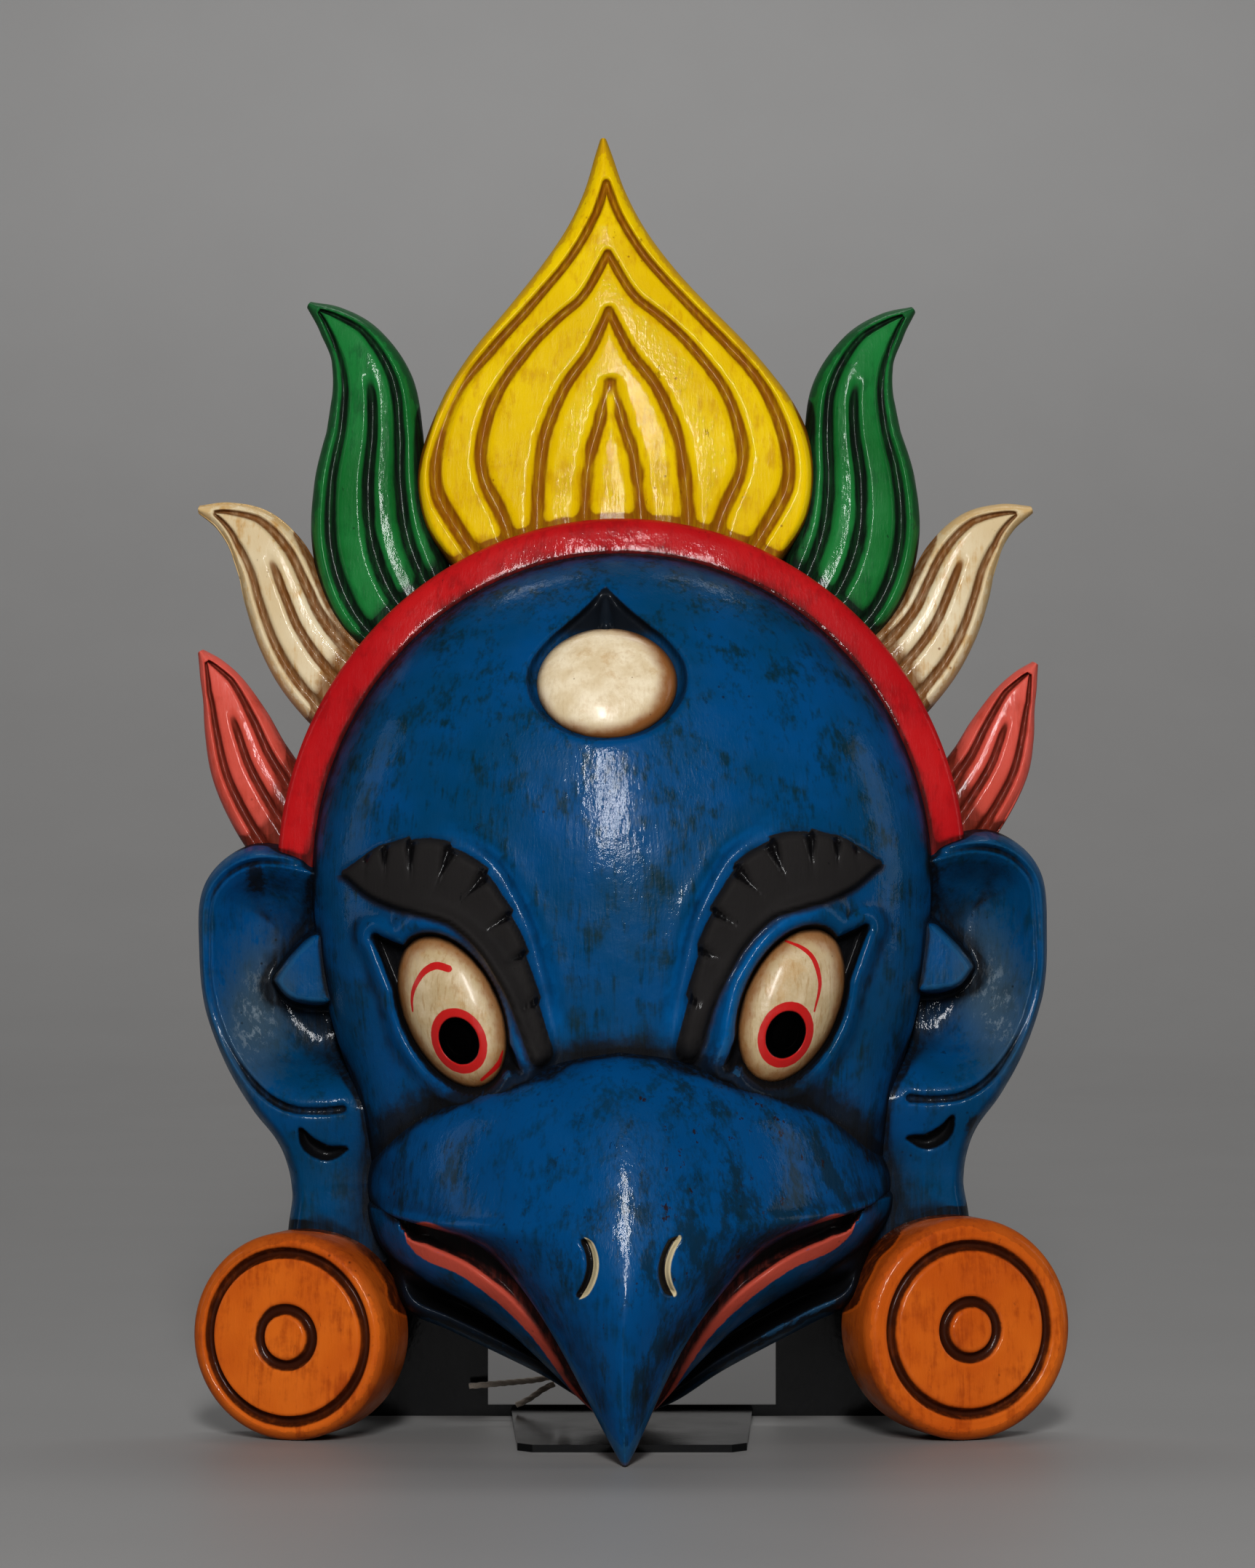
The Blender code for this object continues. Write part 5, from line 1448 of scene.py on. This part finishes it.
def eye_paint(name, arcs):
    """Aged cream paint with painted shade round its rim. With arcs it has a pupil, an iris and red
    arcs as well.
    """
    g = Graph(name)
    patch = g.noise(5, 4, 0.65, offset=3.7)
    hair = g.noise(0.8, 3, 0.6, stretch=(1, 1, 0.22), offset=4.4)
    shades = ((0.66, 0.53, 0.34), (0.80, 0.69, 0.50))
    if arcs:
        shades = ((0.50, 0.38, 0.22), (0.62, 0.50, 0.33))
    colour = g.mix(g.ramp(patch, 0.35, 0.7), *shades)
    crazing = g.times(g.ramp(hair, 0.50, 0.70), 0.5 if arcs else 0.15)
    colour = g.mix(crazing, colour, (0.36, 0.21, 0.08))
    cloud = g.noise(7.0, 5, 0.7, offset=23.0)
    colour = g.mix(g.times(g.ramp(cloud, 0.52, 0.68), 0.45), colour, (0.48, 0.28, 0.10))
    edge = g.shaken(g.mark("ball"), patch, 0.40 if arcs else 0.26)
    if not arcs:
        lean = g.minus(g.times(g.along(0), 10.0), g.times(g.minus(g.along(2), 0.148), 9.0))
        edge = g.plus(edge, lean)
    age = g.ramp(edge, 0.68, 0.94)
    colour = g.mix(g.times(age, 0.8 if arcs else 0.95), colour, (0.25, 0.085, 0.012))
    speck = g.specks(1.6, 9.0, 0.13, 0.05)
    rare = g.ramp(g.noise(4, 2, 0.5, offset=11.0), 0.55, 0.66)
    colour = g.mix(g.times(g.times(speck, rare), 0.7), colour, (0.12, 0.05, 0.02))
    if arcs:
        iris = g.shaken(g.mark("iris"), g.noise(1.3, 3, 0.6), 0.05)
        colour = g.mix(g.ramp(iris, 1.39, 1.35), colour, RED)
        colour = g.mix(g.ramp(iris, 1.02, 0.96), colour, (0.0025, 0.002, 0.002))
        arc = g.shaken(g.mark("arc"), g.noise(0.9, 3, 0.6), 0.12)
        colour = g.mix(g.ramp(arc, 0.06, -0.04), colour, RED)
    # painted shade: dark brown round the ball's rim, where it meets the wood round it
    deep = g.ramp(g.shaken(g.mark("ball"), patch, 0.08), 0.93, 1.0)
    colour = g.mix(g.times(deep, 0.9 if arcs else 0.5), colour, (0.03, 0.014, 0.008))
    g.set(g.shader.inputs["Base Color"], colour)
    rough = g.ramp(g.noise(3, 3, 0.6), 0.3, 0.7, 0.3, 0.46)
    if arcs:
        rough = g.most(rough, g.ramp(g.mark("iris"), 1.0, 0.85, 0.0, 0.6))
    g.set(g.shader.inputs["Roughness"], rough)
    g.shader.inputs["Specular IOR Level"].default_value = 0.30
    coat = g.ramp(g.mark("iris"), 0.9, 1.1, 0.0, 0.14) if arcs else 0.14
    g.set(g.shader.inputs["Coat Weight"], coat)
    if arcs:
        g.set(g.shader.inputs["Metallic"], g.ramp(g.mark("iris"), 1.0, 0.9))
    g.shader.inputs["Coat Roughness"].default_value = 0.15
    normal = g.bump(g.noise(5, 2, 0.5, offset=71.0), 0.2)
    normal = g.bump(g.plus(hair, g.noise(1.4, 3, 0.6)), 0.06, normal=normal)
    g.set(g.shader.inputs["Normal"], normal)
    return g.material


def enamel():
    """Black stove enamel on sheet steel: slight orange peel, dust and fine rubbing."""
    g = Graph("black_enamel")
    dust = g.ramp(g.noise(0.9, 5, 0.8, offset=2.0), 0.6, 0.75)
    cloud = g.noise(18, 3, 0.6)
    colour = g.mix(g.times(dust, 0.10), (0.002, 0.002, 0.0025), (0.03, 0.029, 0.027))
    g.set(g.shader.inputs["Base Color"], colour)
    g.set(g.shader.inputs["Roughness"], g.ramp(cloud, 0.3, 0.7, 0.12, 0.2))
    g.shader.inputs["Specular IOR Level"].default_value = 0.12
    g.shader.inputs["Coat Weight"].default_value = 0.02
    g.shader.inputs["Coat Roughness"].default_value = 0.06
    g.set(g.shader.inputs["Normal"], g.bump(g.noise(1.2, 2, 0.5), 0.02))
    return g.material


def cotton():
    """Grey-beige cotton with some dirt in it."""
    g = Graph("cotton_string")
    fibre = g.noise(0.25, 4, 0.7)
    patch = g.noise(4, 2, 0.5, offset=5.0)
    colour = g.mix(fibre, (0.30, 0.25, 0.20), (0.56, 0.49, 0.42))
    colour = g.mix(g.times(g.ramp(patch, 0.5, 0.7), 0.4), colour, (0.20, 0.15, 0.11))
    g.set(g.shader.inputs["Base Color"], colour)
    g.shader.inputs["Roughness"].default_value = 0.92
    g.shader.inputs["Sheen Weight"].default_value = 0.3
    g.set(g.shader.inputs["Normal"], g.bump(fibre, 0.12))
    return g.material


def blue_paint(name, base=BLUE, streak=0.6, chips=0.8, **more):
    """The blue paint of the head and all that grows from it."""
    return painted(name, (base, BLUE_LIGHT, BLUE_DARK, BLACK, BLUE_WORN), streak, chips, **more)


# Each paint's own colour, a lighter and a darker one, that of its dirt and painted shade, and its
# worn edges'
YELLOW = (
    (0.70, 0.46, 0.001),
    (0.80, 0.56, 0.003),
    (0.56, 0.30, 0.002),
    (0.25, 0.085, 0.005),
    (0.50, 0.26, 0.01),
)
GREEN = (
    (0.012, 0.14, 0.030),
    (0.02, 0.20, 0.05),
    (0.008, 0.07, 0.022),
    (0.008, 0.010, 0.009),
    (0.02, 0.06, 0.03),
)
CREAM = (
    (0.64, 0.50, 0.30),
    (0.78, 0.68, 0.48),
    (0.52, 0.30, 0.10),
    (0.19, 0.075, 0.018),
    (0.56, 0.36, 0.14),
)
PINK = (
    (0.58, 0.095, 0.065),
    (0.70, 0.13, 0.10),
    (0.42, 0.055, 0.03),
    (0.13, 0.022, 0.012),
    (0.62, 0.13, 0.10),
)
BAND_RED = (
    (0.42, 0.010, 0.014),
    (0.50, 0.016, 0.018),
    (0.24, 0.008, 0.010),
    (0.06, 0.006, 0.005),
    (0.30, 0.02, 0.012),
)
ORANGE = (
    (0.50, 0.10, 0.010),
    (0.62, 0.15, 0.016),
    (0.28, 0.045, 0.006),
    (0.045, 0.011, 0.004),
    (0.14, 0.04, 0.010),
)

# The paint of each form, by the first word of its name or the second of a petal's
PAINT = {
    "yellow": painted("yellow_paint", YELLOW, 0.7, coat=0.10),
    "green": painted("green_paint", GREEN, 0.5),
    "cream": painted("cream_paint", CREAM, 0.9),
    "pink": painted("coral_paint", PINK, 0.5),
    "band": painted("red_paint", BAND_RED, 0.5, coat=0.16, zones=band_zones, matte=band_matte),
    "disc": painted("orange_paint", ORANGE, 0.6, 0.5, zones=disc_zones),
    "back": blue_paint("blue_paint"),
    "ear": blue_paint("blue_paint_ears", zones=ear_zones),
    "head": blue_paint(
        "blue_paint_face", streak=0.85, zones=head_zones, spare=brow_spare, matte=brow_matte
    ),
    "beak": blue_paint("blue_paint_beak", BEAK_BLUE, chips=1.0, zones=beak_zones, spare=beak_spare),
    "jaw": blue_paint("blue_paint_jaw", zones=jaw_zones),
    "eye": eye_paint("eye_paint", True),
    "third": eye_paint("third_eye_paint", False),
}


def paint_of(name):
    """The paint of the form with that name."""
    words = name.split("_")
    return PAINT[words[1] if words[0] == "petal" else words[0]]


# The string


def plies(path, twist=1.1, around=18):
    """Rings of three twisted plies along a path in metres, and its length."""
    away = np.gradient(path, axis=0)
    away /= np.linalg.norm(away, axis=1)[:, None]
    first = np.cross(away, (0, 1, 0.2))
    first /= np.linalg.norm(first, axis=1)[:, None]
    second = np.cross(away, first)
    run = np.concatenate([[0], np.cumsum(np.linalg.norm(np.diff(path, axis=0), axis=1))])
    turn = np.linspace(0, 2 * math.pi, around, endpoint=False)
    lobe = np.abs(np.cos(1.5 * (turn[None] - run[:, None] / MM * twist)))
    r = STRING / 2 * MM * (0.76 + 0.24 * lobe)
    turn = turn[None, :, None]
    out = np.cos(turn) * first[:, None] + np.sin(turn) * second[:, None]
    return path[:, None] + r[..., None] * out, run[-1]


def strand(name, points, count):
    """A twisted string along a smooth curve through points in millimetres."""
    path = spline(points, count) * MM + SHIFT
    rings, length = plies(path)
    return smooth_object(name, *loft(rings)), path, length


def knot(name, centre):
    """A tight knot: one turn of string wound three times through itself."""
    t = np.linspace(0, 2 * math.pi, 150, endpoint=False)
    size = (KNOT_SIZE - STRING) / 2 / 3 * 0.98
    x = np.sin(t) + 2 * np.sin(2 * t)
    y = -0.75 * np.sin(3 * t)
    z = np.cos(t) - 2 * np.cos(2 * t)
    rings, _ = plies((np.stack([x, y, z], 1) * size + centre) * MM + SHIFT)
    return smooth_object(name, *loft(rings, closed=True))


def add_string(look):
    """The cord: its knot, its two short ends and the two strands up to their holes."""
    y = string_y()
    kx, kz = KNOT
    edge = KNOT_SIZE / 2 + GAP
    middle = knot("knot", np.array((kx, y, kz)))
    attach(middle, "root")
    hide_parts("string_knot")
    middle.data.materials.append(look)
    ends = {
        "upper": [(kx - edge, y, kz - 0.5), (kx - 6, y, kz - 1.2), (-26, y, 7.4), (-33.5, y, 6.7)],
        "lower": [
            (kx - edge * 0.75, y, kz - edge * 0.75), (-18.4, y, 6.0), (-21, y, 4.2), (-23.8, y, 2.75),
        ],
    }
    for word, points in ends.items():
        made, _, _ = strand(f"end_{word}", np.array(points, float), 90)
        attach(made, "root")
        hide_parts(f"string_end_{word}")
        made.data.materials.append(look)
    for side, word in SIDES:
        start = hole_place(side, 0.6)
        points = [
            start,
            start + (-side * 7.0, 1.0, -1.0),
            start + (-side * 13.0, 2.5, -12.0),
            np.array((side * 31.0, y - 2.5, 58)),
            np.array((side * 19.0 - 4, y, 36)),
            np.array((kx + side * (edge + 6), y, kz + edge + 10)),
            np.array((kx + side * edge * 0.62, y, kz + edge * 0.8)),
        ]
        made, path, length = strand(f"strand_{word}", points, 420)
        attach(made, "root")
        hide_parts(f"string_{word}")
        made.data.materials.append(look)


# The stage, in metres: the floor runs from near to far and turns up into the wall in a sweep

FLOOR_NEAR = -3.0
FLOOR_FAR = 1.2
FLOOR_HALF = 4.0
SWEEP = 0.9
WALL_TOP = 4.0


def stage():
    """A pale floor that turns up into a plain grey backdrop, soft lights and the camera."""
    mesh = bpy.data.meshes.new("floor")
    rows = [(FLOOR_NEAR, 0.0), (FLOOR_FAR, 0.0)]
    for a in np.linspace(0, math.pi / 2, 24)[1:]:
        rows.append((FLOOR_FAR + SWEEP * math.sin(a), SWEEP - SWEEP * math.cos(a)))
    rows.append((FLOOR_FAR + SWEEP, WALL_TOP))
    points = [(x, y, z) for y, z in rows for x in (-FLOOR_HALF, FLOOR_HALF)]
    faces = [(2 * i, 2 * i + 1, 2 * i + 3, 2 * i + 2) for i in range(len(rows) - 1)]
    mesh.from_pydata(points, [], faces)
    mesh.polygons.foreach_set("use_smooth", np.ones(len(mesh.polygons), bool))
    floor = linked("floor", mesh)
    g = Graph("floor_paper")
    grey = g.mix(g.noise(60, 3, 0.5), (0.265, 0.26, 0.255), (0.285, 0.28, 0.275))
    g.set(g.shader.inputs["Base Color"], grey)
    g.shader.inputs["Roughness"].default_value = 0.5
    mesh.materials.append(g.material)

    world = bpy.data.worlds.new("studio")
    bpy.context.scene.world = world
    world.use_nodes = True
    world.node_tree.nodes["Background"].inputs[0].default_value = (0.9, 0.92, 1.0, 1)
    world.node_tree.nodes["Background"].inputs[1].default_value = 0.06
    bpy.context.scene.view_settings.view_transform = "Standard"
    bpy.context.scene.view_settings.look = "Medium High Contrast"

    for name, place, aim, size, power in LIGHTS:
        light = bpy.data.lights.new(name, "AREA")
        light.shape = "RECTANGLE"
        light.size, light.size_y = size
        light.energy = power
        made = linked(name, light)
        made.location = place
        away = np.array(aim) - np.array(place)
        away = away / np.linalg.norm(away)
        made.rotation_euler = (math.acos(-away[2]), 0, math.atan2(away[0], -away[1]) + math.pi)

    camera = bpy.data.cameras.new("camera")
    camera.sensor_fit = "VERTICAL"
    camera.sensor_height = SENSOR
    camera.lens = LENS
    camera.clip_start = 0.01
    made = linked("camera", camera)
    made.location = np.array(CAMERA) + SHIFT
    made.rotation_euler = (math.pi / 2, 0, 0)
    bpy.context.scene.camera = made


# name, place, what it points at, its width and height, power
LIGHTS = (
    ("key", (0.0, -1.15, 0.64), (0, 0, 0.13), (0.13, 0.46), 12.5),
    ("left", (-1.15, -0.02, 0.42), (0, 0, 0.12), (0.30, 0.8), 1.2),
    ("right", (1.15, -0.02, 0.42), (0, 0, 0.12), (0.30, 0.8), 1.5),
    ("backdrop", (0.0, 0.95, 2.1), (0, 2.1, 0.8), (1.6, 0.6), 23.0),
)


def main():
    """The stage, the string, the carved forms and the stand's enamel."""
    stage()
    add_string(cotton())
    for form in build_forms():
        made = make(form)
        made.data.materials.append(paint_of(form.name))
        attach(made, "root")
        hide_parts("mask")
    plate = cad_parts["stand"]
    plate.data.materials.clear()
    plate.data.materials.append(enamel())
    bevel = plate.modifiers.new("rounded_edges", "BEVEL")
    bevel.width = STAND_ROUNDING * MM
    bevel.segments = 3
    bevel.limit_method = "ANGLE"


main()
